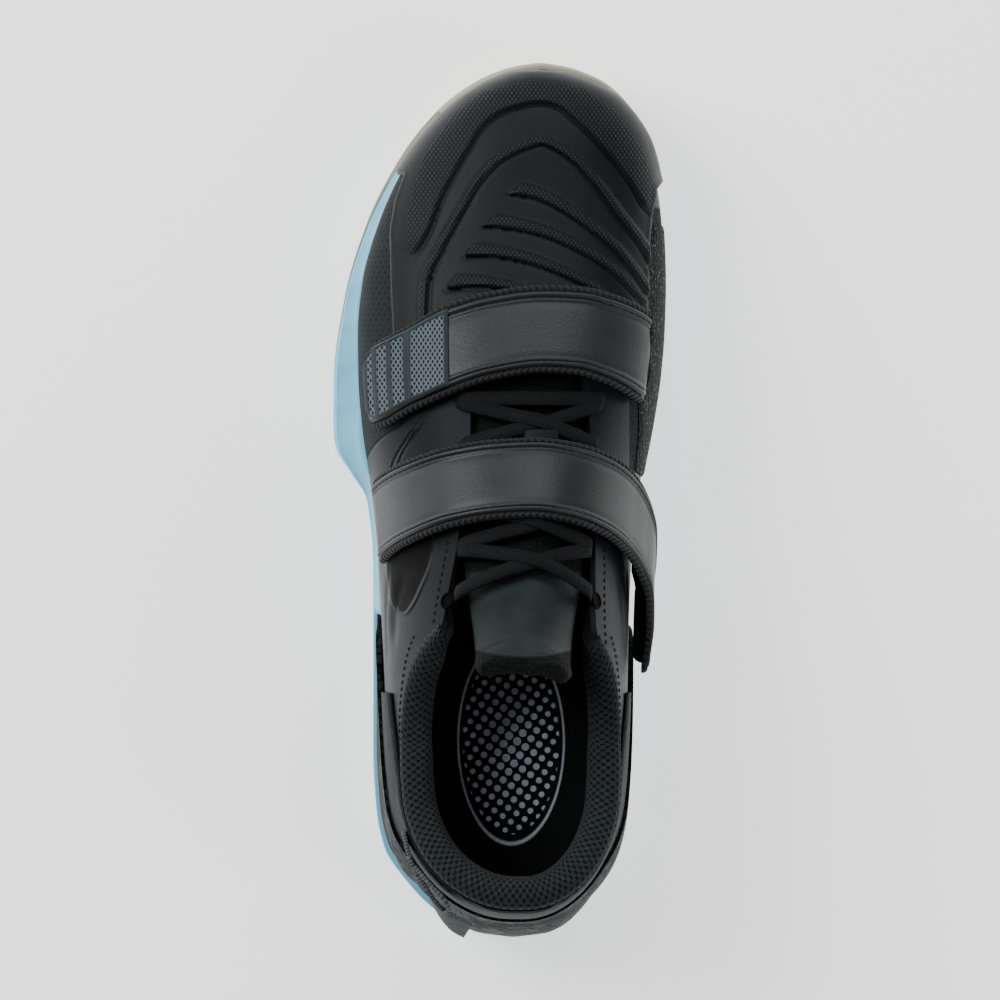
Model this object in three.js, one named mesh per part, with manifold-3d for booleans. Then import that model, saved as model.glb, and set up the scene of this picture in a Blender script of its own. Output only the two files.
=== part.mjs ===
// A left weightlifting shoe, empty and standing on its sole.
// Millimetres, +Z up, toe along +Y, lateral side at -X, origin under the middle of the whole shoe.
import * as THREE from 'three';
import { mergeVertices } from 'three/addons/utils/BufferGeometryUtils.js';
import Module from 'manifold-3d';

const wasm = await Module();
wasm.setup();

// Driving dimensions
const LENGTH = 300;
const BALL_WIDTH = 114;
const FOREFOOT_STACK = 17;
const HEEL_STACK = 37;
const TOE_SPRING = 8;
const ARCH_HEIGHT = 3.5;
const OUTSOLE_THICKNESS = 4.2;
const INSTEP_HEIGHT = 95;
const COUNTER_HEIGHT = 66;
const WALL = 2.2;
const GAP = 0.3;
const OVERLAY = 1;
const RIB_HEIGHT = 1.1;
const RIB_WIDTH = 3.1;
const INSOLE_THICKNESS = 3.5;
const TONGUE_THICKNESS = 5;
const COLLAR_PADDING = 6.5;
const COLLAR_DEPTH = 24;
const CLIP_WALL = 2.2;
const CLIP_FOOT = 12;
const CLIP_HEIGHT = 57;
const HEEL_DRAFT = 8.5;
const TOE_DRAFT = 1.2;
const TREAD_BEVEL = 1;
const TOE_WRAP_WALL = 2.6;
const TOE_WRAP_HEIGHT = 4;
const STRAP_WIDTH = 30;
const STRAP_THICKNESS = 2.4;
const TAB_THICKNESS = 1;
const COLLAR_REVEAL = 1.5;
const LACE_WIDTH = 5.5;
const LACE_THICKNESS = 1.6;
const LACE_LIFT = 0.9;
const LUG_GROOVE_WIDTH = 2.4;
const LUG_GROOVE_DEPTH = 1.8;
const LUG_PITCH = 13;
const WEBBING_WIDTH = 11;
const WEBBING_THICKNESS = 1.5;

// The sole's outline at the ground. along is a share of LENGTH from the heel, the rest are shares
// of BALL_WIDTH: lateral and medial edges, and how far the top edge lies inside them (drafts).
const SOLE_OUTLINE = [
  { along: 0.000, lateral: 0.040, medial: 0.040, lateralDraft: 0.000, medialDraft: 0.000 },
  { along: 0.006, lateral: -0.070, medial: 0.150, lateralDraft: 0.010, medialDraft: 0.010 },
  { along: 0.025, lateral: -0.174, medial: 0.226, lateralDraft: 0.020, medialDraft: 0.020 },
  { along: 0.065, lateral: -0.282, medial: 0.304, lateralDraft: 0.022, medialDraft: 0.020 },
  { along: 0.105, lateral: -0.349, medial: 0.353, lateralDraft: 0.020, medialDraft: 0.018 },
  { along: 0.150, lateral: -0.372, medial: 0.381, lateralDraft: 0.016, medialDraft: 0.014 },
  { along: 0.217, lateral: -0.381, medial: 0.388, lateralDraft: 0.014, medialDraft: 0.012 },
  { along: 0.333, lateral: -0.380, medial: 0.384, lateralDraft: 0.012, medialDraft: 0.010 },
  { along: 0.433, lateral: -0.381, medial: 0.382, lateralDraft: 0.012, medialDraft: 0.006 },
  { along: 0.505, lateral: -0.400, medial: 0.408, lateralDraft: 0.014, medialDraft: 0.006 },
  { along: 0.535, lateral: -0.446, medial: 0.427, lateralDraft: 0.034, medialDraft: 0.006 },
  { along: 0.565, lateral: -0.492, medial: 0.446, lateralDraft: 0.070, medialDraft: 0.006 },
  { along: 0.585, lateral: -0.500, medial: 0.458, lateralDraft: 0.077, medialDraft: 0.006 },
  { along: 0.640, lateral: -0.499, medial: 0.480, lateralDraft: 0.072, medialDraft: 0.006 },
  { along: 0.733, lateral: -0.466, medial: 0.493, lateralDraft: 0.042, medialDraft: 0.006 },
  { along: 0.817, lateral: -0.400, medial: 0.490, lateralDraft: 0.032, medialDraft: 0.008 },
  { along: 0.893, lateral: -0.298, medial: 0.455, lateralDraft: 0.030, medialDraft: 0.008 },
  { along: 0.943, lateral: -0.195, medial: 0.404, lateralDraft: 0.022, medialDraft: 0.008 },
  { along: 0.975, lateral: -0.088, medial: 0.325, lateralDraft: 0.012, medialDraft: 0.006 },
  { along: 0.994, lateral: 0.028, medial: 0.212, lateralDraft: 0.004, medialDraft: 0.004 },
  { along: 1.000, lateral: 0.120, medial: 0.120, lateralDraft: 0.000, medialDraft: 0.000 },
];

// How much of a section's turns lie on its round over the foot, above where it is widest
const ROUND_SHARE = 0.62;

// Sections of the last from the toe to the top of the collar. Each lies in a plane that leans back
// from the ground point to the ridge point. ground and ridge are shares of LENGTH from the heel;
// rise is a share of COUNTER_HEIGHT and up of INSTEP_HEIGHT, both above the sole's top; spine,
// lateral and medial are shares of BALL_WIDTH; pinch is how far the foot closes at the heel;
// widest is where along the section it is widest, and fullness the exponent of its round.
const LAST_SECTIONS = [
  { ground: 0.9835, rise: 0.05, ridge: 0.9835, up: 0.090, spine: 0.100,
    lateral: 0.083, medial: 0.117, pinch: 0.10, widest: 0.40, fullness: 2.2 },
  { ground: 0.9808, rise: -0.05, ridge: 0.9808, up: 0.145, spine: 0.101,
    lateral: 0.030, medial: 0.190, pinch: 0.10, widest: 0.40, fullness: 2.3 },
  { ground: 0.9738, rise: -0.09, ridge: 0.9738, up: 0.188, spine: 0.102,
    lateral: -0.020, medial: 0.255, pinch: 0.05, widest: 0.36, fullness: 2.4 },
  { ground: 0.9605, rise: -0.09, ridge: 0.9605, up: 0.232, spine: 0.103,
    lateral: -0.086, medial: 0.330, pinch: 0.04, widest: 0.32, fullness: 2.4 },
  { ground: 0.9410, rise: -0.09, ridge: 0.9410, up: 0.275, spine: 0.104,
    lateral: -0.154, medial: 0.385, pinch: 0.03, widest: 0.28, fullness: 2.4 },
  { ground: 0.9067, rise: -0.09, ridge: 0.9067, up: 0.325, spine: 0.105,
    lateral: -0.239, medial: 0.440, pinch: 0.03, widest: 0.25, fullness: 2.4 },
  { ground: 0.8667, rise: -0.09, ridge: 0.8667, up: 0.366, spine: 0.105,
    lateral: -0.307, medial: 0.466, pinch: 0.03, widest: 0.23, fullness: 2.4 },
  { ground: 0.8133, rise: -0.09, ridge: 0.8133, up: 0.417, spine: 0.104,
    lateral: -0.368, medial: 0.483, pinch: 0.03, widest: 0.21, fullness: 2.35 },
  { ground: 0.7500, rise: -0.09, ridge: 0.7500, up: 0.476, spine: 0.102,
    lateral: -0.414, medial: 0.489, pinch: 0.03, widest: 0.20, fullness: 2.3 },
  { ground: 0.6933, rise: -0.09, ridge: 0.6950, up: 0.535, spine: 0.099,
    lateral: -0.428, medial: 0.485, pinch: 0.03, widest: 0.19, fullness: 2.25 },
  { ground: 0.6400, rise: -0.09, ridge: 0.6510, up: 0.585, spine: 0.095,
    lateral: -0.427, medial: 0.474, pinch: 0.03, widest: 0.18, fullness: 2.2 },
  { ground: 0.5800, rise: -0.09, ridge: 0.6080, up: 0.636, spine: 0.088,
    lateral: -0.416, medial: 0.451, pinch: 0.03, widest: 0.18, fullness: 2.15 },
  { ground: 0.5100, rise: -0.09, ridge: 0.5630, up: 0.688, spine: 0.080,
    lateral: -0.391, medial: 0.417, pinch: 0.03, widest: 0.19, fullness: 2.1 },
  { ground: 0.4400, rise: -0.09, ridge: 0.5190, up: 0.736, spine: 0.073,
    lateral: -0.372, medial: 0.393, pinch: 0.03, widest: 0.21, fullness: 2.1 },
  { ground: 0.3650, rise: -0.09, ridge: 0.4770, up: 0.780, spine: 0.067,
    lateral: -0.362, medial: 0.381, pinch: 0.03, widest: 0.24, fullness: 2.1 },
  { ground: 0.2900, rise: -0.09, ridge: 0.4400, up: 0.822, spine: 0.062,
    lateral: -0.354, medial: 0.374, pinch: 0.03, widest: 0.27, fullness: 2.1 },
  { ground: 0.2130, rise: -0.09, ridge: 0.4100, up: 0.858, spine: 0.057,
    lateral: -0.347, medial: 0.369, pinch: 0.03, widest: 0.30, fullness: 2.1 },
  { ground: 0.1400, rise: -0.09, ridge: 0.3870, up: 0.890, spine: 0.053,
    lateral: -0.338, medial: 0.362, pinch: 0.05, widest: 0.33, fullness: 2.1 },
  { ground: 0.0830, rise: -0.08, ridge: 0.3700, up: 0.920, spine: 0.049,
    lateral: -0.326, medial: 0.351, pinch: 0.16, widest: 0.36, fullness: 2.1 },
  { ground: 0.0470, rise: -0.04, ridge: 0.3570, up: 0.945, spine: 0.046,
    lateral: -0.313, medial: 0.340, pinch: 0.58, widest: 0.39, fullness: 2.15 },
  { ground: 0.0350, rise: 0.12, ridge: 0.3500, up: 0.963, spine: 0.044,
    lateral: -0.302, medial: 0.332, pinch: 0.93, widest: 0.42, fullness: 2.2 },
  { ground: 0.0320, rise: 0.33, ridge: 0.3440, up: 0.976, spine: 0.043,
    lateral: -0.292, medial: 0.325, pinch: 0.95, widest: 0.44, fullness: 2.25 },
  { ground: 0.0350, rise: 0.56, ridge: 0.3400, up: 0.985, spine: 0.042,
    lateral: -0.284, medial: 0.319, pinch: 0.95, widest: 0.46, fullness: 2.3 },
  { ground: 0.0420, rise: 0.78, ridge: 0.3360, up: 0.993, spine: 0.041,
    lateral: -0.279, medial: 0.314, pinch: 0.95, widest: 0.47, fullness: 2.3 },
  { ground: 0.0500, rise: 1.00, ridge: 0.3330, up: 1.000, spine: 0.040,
    lateral: -0.275, medial: 0.311, pinch: 0.95, widest: 0.48, fullness: 2.3 },
];

// The topline from the side: along is a share of LENGTH, up a share of COUNTER_HEIGHT above the
// sole's top at the heel.
const TOPLINE = [
  { along: 0.045, up: 0.965 },
  { along: 0.065, up: 0.930 },
  { along: 0.110, up: 0.840 },
  { along: 0.170, up: 0.752 },
  { along: 0.230, up: 0.722 },
  { along: 0.285, up: 0.775 },
  { along: 0.330, up: 0.890 },
  { along: 0.375, up: 1.040 },
];

// The throat's edges in plan, from the collar to the vamp point, as shares of LENGTH and BALL_WIDTH.
const THROAT = [
  { along: 0.300, lateral: -0.210, medial: 0.272 },
  { along: 0.375, lateral: -0.182, medial: 0.262 },
  { along: 0.460, lateral: -0.140, medial: 0.264 },
  { along: 0.560, lateral: -0.104, medial: 0.256 },
  { along: 0.620, lateral: -0.098, medial: 0.240 },
  { along: 0.655, lateral: -0.070, medial: 0.210 },
  { along: 0.668, lateral: 0.010, medial: 0.140 },
];

// The toe and vamp overlay in plan, round its edge, as shares of LENGTH and BALL_WIDTH.
const VAMP_EDGE = [
  { along: 0.655, across: -0.322 },
  { along: 0.740, across: -0.332 },
  { along: 0.800, across: -0.334 },
  { along: 0.838, across: -0.318 },
  { along: 0.868, across: -0.290 },
  { along: 0.885, across: -0.420 },
  { along: 1.020, across: -0.300 },
  { along: 1.020, across: 0.460 },
  { along: 0.900, across: 0.560 },
  { along: 0.850, across: 0.455 },
  { along: 0.790, across: 0.440 },
  { along: 0.700, across: 0.432 },
  { along: 0.655, across: 0.425 },
];

// The raised chevrons of the vamp, by their middle lines in plan, from the lateral end over the
// apex to the medial end, as shares of LENGTH and BALL_WIDTH.
const CHEVRONS = [
  { name: 'outer', along: 0.758, across: -0.235 },
  { name: 'outer', along: 0.812, across: -0.214 },
  { name: 'outer', along: 0.886, across: -0.100 },
  { name: 'outer', along: 0.912, across: 0.055 },
  { name: 'outer', along: 0.912, across: 0.160 },
  { name: 'outer', along: 0.872, across: 0.262 },
  { name: 'outer', along: 0.795, across: 0.405 },
  { name: 'second', along: 0.735, across: -0.229 },
  { name: 'second', along: 0.755, across: -0.226 },
  { name: 'second', along: 0.835, across: -0.112 },
  { name: 'second', along: 0.897, across: 0.050 },
  { name: 'second', along: 0.903, across: 0.132 },
  { name: 'second', along: 0.866, across: 0.235 },
  { name: 'second', along: 0.765, across: 0.440 },
  { name: 'third', along: 0.853, across: 0.022 },
  { name: 'third', along: 0.858, across: 0.080 },
  { name: 'third', along: 0.848, across: 0.150 },
  { name: 'third', along: 0.800, across: 0.330 },
  { name: 'third', along: 0.745, across: 0.430 },
  { name: 'fourth', along: 0.812, across: -0.060 },
  { name: 'fourth', along: 0.815, across: 0.020 },
  { name: 'fourth', along: 0.795, across: 0.150 },
  { name: 'fourth', along: 0.738, across: 0.385 },
  { name: 'fifth', along: 0.772, across: -0.120 },
  { name: 'fifth', along: 0.778, across: -0.020 },
  { name: 'fifth', along: 0.765, across: 0.110 },
  { name: 'fifth', along: 0.722, across: 0.310 },
  { name: 'sixth', along: 0.738, across: -0.168 },
  { name: 'sixth', along: 0.742, across: -0.080 },
  { name: 'sixth', along: 0.738, across: 0.010 },
  { name: 'sixth', along: 0.722, across: 0.090 },
];

// Where the sole's heights and side steps begin and end, as shares of LENGTH from the heel
const SOLE_CHANGES = {
  spring: [0.78, 1],
  archRise: [0.33, 0.42],
  archFall: [0.49, 0.57],
  wedge: [0.150, 0.667],
  clipEnd: [0.355, 0.375],
  wrapStart: [0.87, 0.92],
};

// The midsole's side above the heel clip's lower edge: up is a share of its height, draft a share
// of the outline's draft and lean a share of HEEL_DRAFT.
const MIDSOLE_SIDE = [
  { up: 0.02, draft: 0.12, lean: 0 },
  { up: 0.55, draft: 0.60, lean: 0.5 },
  { up: 1.00, draft: 1.00, lean: 1 },
];

// The heel clip's side: up is a share from CLIP_FOOT to CLIP_HEIGHT, lean a share of HEEL_DRAFT and
// inset a share of CLIP_WALL.
const CLIP_SIDE = [
  { up: 0.00, lean: 0.09, draft: 0.12, inset: 0.36 },
  { up: 0.30, lean: 0.31, draft: 0.40, inset: 0.41 },
  { up: 0.65, lean: 0.61, draft: 0.80, inset: 0.50 },
  { up: 1.00, lean: 1.00, draft: 1.00, inset: 0.91 },
];

// The heel clip's top edge from the side, as shares of LENGTH and CLIP_HEIGHT
const CLIP_TOP = [
  { along: -0.05, up: 1.000 },
  { along: 0.080, up: 0.980 },
  { along: 0.160, up: 0.860 },
  { along: 0.260, up: 0.740 },
  { along: 0.330, up: 0.560 },
  { along: 0.372, up: 0.300 },
];

// The counter's top edge from the side, from its front end back, like TOPLINE
const COUNTER_TOP = [
  { along: 0.285, up: 0.52 },
  { along: 0.230, up: 0.60 },
  { along: 0.150, up: 0.66 },
  { along: 0.060, up: 0.80 },
  { along: -0.05, up: 0.84 },
];

// Where the outsole's toe wrap starts in plan, as shares of LENGTH and BALL_WIDTH
const WRAP_START = [
  { along: 0.945, across: -0.1 },
  { along: 0.895, across: 0.3 },
];

// How fine the lofts are, and the steps along the last that slopes are measured over
const SOLE_STATIONS = 28;
const LAST_STATIONS = 25;
const LAST_TURNS = 20;
const STRAP_STATIONS = 14;
const LACE_STATIONS = 4;
const EDGE_STEPS = 18;
const NORMAL_STEP = 0.02;
const WIDTH_STEP = 0.05;

// Plain helpers on numbers and on solids

const lerp = (from, to, share) => from + (to - from) * share;
const clamp = (value, low, high) => Math.min(high, Math.max(low, value));
const ramp = (value, [from, to]) => {
  const t = clamp((value - from) / (to - from), 0, 1);
  return t * t * (3 - 2 * t);
};

// A column of a table at a place between its rows, by cubic Hermite pieces with limited slopes.
function column(rows, key, place, name) {
  const at = (i) => rows[i][key];
  const last = rows.length - 1;
  if (place <= at(0)) return rows[0][name];
  if (place >= at(last)) return rows[last][name];
  let i = 0;
  while (place > at(i + 1)) i += 1;
  const slope = (k) => (rows[k + 1][name] - rows[k][name]) / (at(k + 1) - at(k));
  const tangent = (k) => {
    if (k === 0) return slope(0);
    if (k === last) return slope(last - 1);
    const before = slope(k - 1);
    const after = slope(k);
    return before * after <= 0 ? 0 : (2 * before * after) / (before + after);
  };
  const width = at(i + 1) - at(i);
  const t = (place - at(i)) / width;
  const rise = rows[i + 1][name] - rows[i][name];
  const a = tangent(i) * width;
  const b = tangent(i + 1) * width;
  return rows[i][name] + a * t + (3 * rise - 2 * a - b) * t * t + (a + b - 2 * rise) * t * t * t;
}

// A column by row number, with the same soft curve through every row.
function rowValue(rows, place, name) {
  const numbered = rows.map((row, i) => ({ row: i, value: row[name] }));
  return column(numbered, 'row', place, 'value');
}

// A closed geometry through loops of as many points each, with a fan of triangles at both ends.
function loft(loops) {
  const count = loops[0].length;
  const points = loops.flat();
  const index = [];
  for (let i = 0; i + 1 < loops.length; i += 1) {
    for (let j = 0; j < count; j += 1) {
      const a = i * count + j;
      const b = i * count + ((j + 1) % count);
      index.push(a, b, b + count, a, b + count, a + count);
    }
  }
  [0, loops.length - 1].forEach((end) => {
    const middle = new THREE.Vector3();
    loops[end].forEach((point) => middle.addScaledVector(point, 1 / count));
    points.push(middle);
    for (let j = 0; j < count; j += 1) {
      const a = end * count + j;
      const b = end * count + ((j + 1) % count);
      if (end === 0) index.push(b, a, points.length - 1);
      else index.push(a, b, points.length - 1);
    }
  });
  const geometry = new THREE.BufferGeometry().setFromPoints(points);
  geometry.setIndex(index);
  return geometry;
}

// A closed geometry as a solid that can be joined and cut, turned round if it points inwards.
function solidOf(geometry) {
  const bare = new THREE.BufferGeometry();
  bare.setAttribute('position', geometry.getAttribute('position'));
  bare.setIndex(geometry.index);
  const merged = mergeVertices(bare, 1e-4);
  const vertProperties = new Float32Array(merged.attributes.position.array);
  const triVerts = new Uint32Array(merged.index.array);
  const [a, b, c] = [new THREE.Vector3(), new THREE.Vector3(), new THREE.Vector3()];
  let volume = 0;
  for (let i = 0; i < triVerts.length; i += 3) {
    a.fromArray(vertProperties, 3 * triVerts[i]);
    b.fromArray(vertProperties, 3 * triVerts[i + 1]);
    c.fromArray(vertProperties, 3 * triVerts[i + 2]);
    volume += a.dot(b.cross(c));
  }
  if (volume < 0) {
    for (let i = 0; i < triVerts.length; i += 3) {
      [triVerts[i + 1], triVerts[i + 2]] = [triVerts[i + 2], triVerts[i + 1]];
    }
  }
  return new wasm.Manifold(new wasm.Mesh({ numProp: 3, vertProperties, triVerts }));
}

function geometryOf(solid) {
  const mesh = solid.getMesh();
  const geometry = new THREE.BufferGeometry();
  geometry.setAttribute('position', new THREE.BufferAttribute(new Float32Array(mesh.vertProperties), 3));
  geometry.setIndex(new THREE.BufferAttribute(new Uint32Array(mesh.triVerts), 1));
  return geometry;
}

// The largest body of a cut solid, without the slivers that a cut may leave.
function mainBody(solid) {
  return solid.decompose().sort((one, other) => other.volume() - one.volume())[0];
}

// An upright prism of a plan outline, and a prism across the shoe of an outline seen from the side.
function uprightPrism(outline, low, high) {
  const shape = new THREE.Shape(outline.map(([x, y]) => new THREE.Vector2(x, y)));
  const geometry = new THREE.ExtrudeGeometry(shape, { depth: high - low, bevelEnabled: false });
  return solidOf(geometry.translate(0, 0, low));
}

function sidePrism(outline, halfWidth) {
  const shape = new THREE.Shape(outline.map(([y, z]) => new THREE.Vector2(y, z)));
  const geometry = new THREE.ExtrudeGeometry(shape, { depth: 2 * halfWidth, bevelEnabled: false });
  const basis = new THREE.Matrix4().makeBasis(
    new THREE.Vector3(0, 1, 0),
    new THREE.Vector3(0, 0, 1),
    new THREE.Vector3(1, 0, 0),
  );
  return solidOf(geometry.applyMatrix4(basis).translate(-halfWidth, 0, 0));
}

// Places from shares
const alongY = (share) => (share - 0.5) * LENGTH;
const shareOf = (y) => y / LENGTH + 0.5;
const acrossX = (share) => share * BALL_WIDTH;
const BEHIND_HEEL = -0.1;
const BEYOND_TOE = 1.1;
const CLEAR_WIDTH = BALL_WIDTH;
const CLEAR_HEIGHT = HEEL_STACK + COUNTER_HEIGHT + INSTEP_HEIGHT;

// Heights of the sole over the ground
const springAt = (y) => {
  const [from, to] = SOLE_CHANGES.spring;
  return TOE_SPRING * clamp((shareOf(y) - from) / (to - from), 0, 1) ** 2;
};
const archAt = (y) => {
  const rise = ramp(shareOf(y), SOLE_CHANGES.archRise);
  return ARCH_HEIGHT * rise * (1 - ramp(shareOf(y), SOLE_CHANGES.archFall));
};
const stackAt = (y) => lerp(HEEL_STACK, FOREFOOT_STACK, ramp(shareOf(y), SOLE_CHANGES.wedge));
const bottomAt = (y) => springAt(y) + archAt(y);
const topAt = (y) => springAt(y) + stackAt(y);

// The sole: a section at each station is a loop through its levels, up one side and down the other.
// A level gives its height and how far it lies inside the ground outline at the toe, heel and sides.
const POLE_SHARE = 0.0006;
const POLE_WIDTH = 0.3;
const stationShare = (i) => {
  const round = (1 - Math.cos((Math.PI * i) / SOLE_STATIONS)) / 2;
  return clamp(round, POLE_SHARE, 1 - POLE_SHARE);
};

function soleForm(levels) {
  const loops = [];
  for (let i = 0; i <= SOLE_STATIONS; i += 1) {
    const share = stationShare(i);
    const edge = (name) => column(SOLE_OUTLINE, 'along', share, name);
    const lateral = [];
    const medial = [];
    levels.forEach((level) => {
      const y = lerp(alongY(0) + level.heel, alongY(1) - level.toe, share);
      const z = level.height(y);
      const inset = level.side(shareOf(y));
      const half = (acrossX(edge('medial')) - acrossX(edge('lateral'))) / 2;
      const middle = (acrossX(edge('medial')) + acrossX(edge('lateral'))) / 2;
      const drawn = level.draft * acrossX(1);
      const left = Math.max(POLE_WIDTH, half - inset - drawn * edge('lateralDraft'));
      const right = Math.max(POLE_WIDTH, half - inset - drawn * edge('medialDraft'));
      lateral.push(new THREE.Vector3(middle - left, y, z));
      medial.push(new THREE.Vector3(middle + right, y, z));
    });
    loops.push([...lateral, ...medial.reverse()]);
  }
  return loft(loops);
}

// The midsole, grown by a clearance. Its side has a step at the heel clip's foot that lets the clip
// in, and one at the toe that lets the outsole's wrap in.
function midsoleForm(clearance) {
  const base = (y) => bottomAt(y) + OUTSOLE_THICKNESS + GAP - clearance;
  const clipDepth = CLIP_WALL + GAP;
  const wrapDepth = TOE_WRAP_WALL + GAP;
  const heightAt = (up) => (y) => {
    const high = topAt(y) + clearance;
    const foot = Math.max(base(y) + GAP, Math.min(CLIP_FOOT, high - TOE_WRAP_WALL));
    return lerp(foot, high, up);
  };
  const side = (share) => wrapDepth * ramp(share, SOLE_CHANGES.wrapStart) - clearance;
  const clipSide = (share) => side(share) + clipDepth * (1 - ramp(share, SOLE_CHANGES.clipEnd));
  return soleForm([
    { heel: -clearance, toe: wrapDepth - clearance, draft: 0, height: base, side },
    {
      heel: -clearance,
      toe: wrapDepth - clearance,
      draft: MIDSOLE_SIDE[0].draft,
      height: heightAt(0),
      side,
    },
    ...MIDSOLE_SIDE.map((row) => ({
      heel: clipDepth + row.lean * HEEL_DRAFT - clearance,
      toe: wrapDepth + (row.lean === 1 ? TOE_DRAFT : 0) - clearance,
      draft: row.draft,
      height: heightAt(row.up),
      side: clipSide,
    })),
  ]);
}

// The last: a point of its surface. place is a row number of LAST_SECTIONS, turn runs from -1 at the
// lateral foot over 0 at the ridge to 1 at the medial foot, and the point lies out beyond the last.
function lastPoint(place, turn) {
  const value = (name) => rowValue(LAST_SECTIONS, place, name);
  const groundY = alongY(value('ground'));
  const ridgeY = alongY(value('ridge'));
  const groundZ = topAt(groundY) + value('rise') * COUNTER_HEIGHT;
  const ridgeZ = topAt(ridgeY) + value('up') * INSTEP_HEIGHT;
  const widest = value('widest');
  const power = 2 / value('fullness');
  const reach = Math.abs(turn);
  const edge = acrossX(turn < 0 ? value('lateral') : value('medial'));
  const spine = acrossX(value('spine'));
  let up;
  let x;
  if (reach <= ROUND_SHARE) {
    const angle = (reach / ROUND_SHARE) * (Math.PI / 2);
    up = widest + (1 - widest) * Math.cos(angle) ** power;
    x = lerp(spine, edge, Math.sin(angle) ** power);
  } else {
    const angle = ((reach - ROUND_SHARE) / (1 - ROUND_SHARE)) * (Math.PI / 2);
    const foot = lerp(edge, spine, value('pinch'));
    up = widest * (1 - Math.sin(angle));
    x = lerp(foot, edge, Math.cos(angle));
  }
  return new THREE.Vector3(x, lerp(groundY, ridgeY, up), lerp(groundZ, ridgeZ, up));
}

// The same point moved out along the surface's normal, or in if out is below zero.
function lastOut(place, turn, out) {
  const top = LAST_SECTIONS.length - 1;
  const before = lastPoint(clamp(place - NORMAL_STEP, 0, top), turn);
  const after = lastPoint(clamp(place + NORMAL_STEP, 0, top), turn);
  const left = lastPoint(place, clamp(turn - NORMAL_STEP, -1, 1));
  const right = lastPoint(place, clamp(turn + NORMAL_STEP, -1, 1));
  const normal = new THREE.Vector3().crossVectors(right.sub(left), after.sub(before)).normalize();
  return lastPoint(place, turn).addScaledVector(normal, -out);
}

// The whole last, closed, at a distance out from its surface.
const lastForms = new Map();

function lastForm(out) {
  if (!lastForms.has(out)) {
    const loops = [];
    const top = LAST_SECTIONS.length - 1;
    for (let i = 0; i <= LAST_STATIONS; i += 1) {
      const place = (top * i) / LAST_STATIONS;
      const loop = [];
      for (let j = 0; j <= LAST_TURNS; j += 1) loop.push(lastOut(place, (2 * j) / LAST_TURNS - 1, out));
      loops.push(loop);
    }
    lastForms.set(out, solidOf(loft(loops)));
  }
  return lastForms.get(out);
}

const lastShell = (inner, outer) => lastForm(outer).subtract(lastForm(inner));

// Everything under the sole's top, raised by a clearance
function underSole(lift) {
  const loops = [];
  for (let i = 0; i <= SOLE_STATIONS; i += 1) {
    const y = lerp(alongY(BEHIND_HEEL), alongY(BEYOND_TOE), stationShare(i));
    const high = topAt(y) + lift;
    loops.push([
      new THREE.Vector3(-CLEAR_WIDTH, y, -CLEAR_WIDTH),
      new THREE.Vector3(-CLEAR_WIDTH, y, high),
      new THREE.Vector3(CLEAR_WIDTH, y, high),
      new THREE.Vector3(CLEAR_WIDTH, y, -CLEAR_WIDTH),
    ]);
  }
  return solidOf(loft(loops));
}

// The space over the topline, lowered by drop, and the throat in plan, widened by grow
const toplineZ = (up) => HEEL_STACK + up * COUNTER_HEIGHT;

// An edge seen from the side as points, through the rows of its table
function sideEdge(rows, heightOf) {
  const [first, last] = [rows[0].along, rows[rows.length - 1].along];
  return Array.from({ length: EDGE_STEPS + 1 }, (_, i) => {
    const share = lerp(first, last, i / EDGE_STEPS);
    return [alongY(share), heightOf(column(rows, 'along', share, 'up'))];
  });
}

function overTopline(drop) {
  const edge = sideEdge(TOPLINE, (up) => toplineZ(up) - drop);
  return sidePrism([
    [alongY(BEHIND_HEEL), edge[0][1]],
    ...edge,
    [edge[EDGE_STEPS][0], CLEAR_HEIGHT],
    [alongY(BEHIND_HEEL), CLEAR_HEIGHT],
  ], CLEAR_WIDTH);
}

// An upright prism between the lateral and medial edges that a table gives in plan
function planPrism(rows, grow, low) {
  const side = (name, sign) => rows.map((row) => [acrossX(row[name]) + sign * grow, alongY(row.along)]);
  return uprightPrism([...side('lateral', -1), ...side('medial', 1).reverse()], low, CLEAR_HEIGHT);
}

const throatPrism = (grow) => planPrism(THROAT, grow, HEEL_STACK);

// Upper: one hollow wall, open underneath, at the throat and at the collar
const soleLine = underSole(GAP);
const upperOpen = overTopline(0).add(throatPrism(0));
const upper = mainBody(lastShell(-WALL, 0).subtract(soleLine).subtract(upperOpen));

// Vamp overlay with its raised chevrons, a skin on the toe and vamp
function bandPrism(rows, width) {
  const middle = new THREE.SplineCurve(rows.map((row) => (
    new THREE.Vector2(acrossX(row.across), alongY(row.along))
  )));
  const steps = 2 * (rows.length - 1);
  const edges = [-1, 1].map((side) => {
    const edge = [];
    for (let i = 0; i <= steps; i += 1) {
      const point = middle.getPoint(i / steps);
      const tangent = middle.getTangent(i / steps);
      const half = (side * width) / 2;
      edge.push([point.x - tangent.y * half, point.y + tangent.x * half]);
    }
    return edge;
  });
  return uprightPrism([...edges[0], ...edges[1].reverse()], FOREFOOT_STACK, CLEAR_HEIGHT);
}

const vampOutline = VAMP_EDGE.map((row) => [acrossX(row.across), alongY(row.along)]);
const vampPrism = uprightPrism(vampOutline, 0, CLEAR_HEIGHT);
const ribShell = lastShell(GAP, GAP + OVERLAY + RIB_HEIGHT);
const ribNames = [...new Set(CHEVRONS.map((row) => row.name))];
const ribs = ribNames.map((name) => {
  const rows = CHEVRONS.filter((row) => row.name === name);
  return ribShell.intersect(bandPrism(rows, RIB_WIDTH));
});
const vampSkin = lastShell(GAP, GAP + OVERLAY).subtract(underSole(GAP)).intersect(vampPrism);
const vampOverlay = mainBody(ribs.reduce((whole, rib) => whole.add(rib.intersect(vampPrism)), vampSkin));

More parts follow.
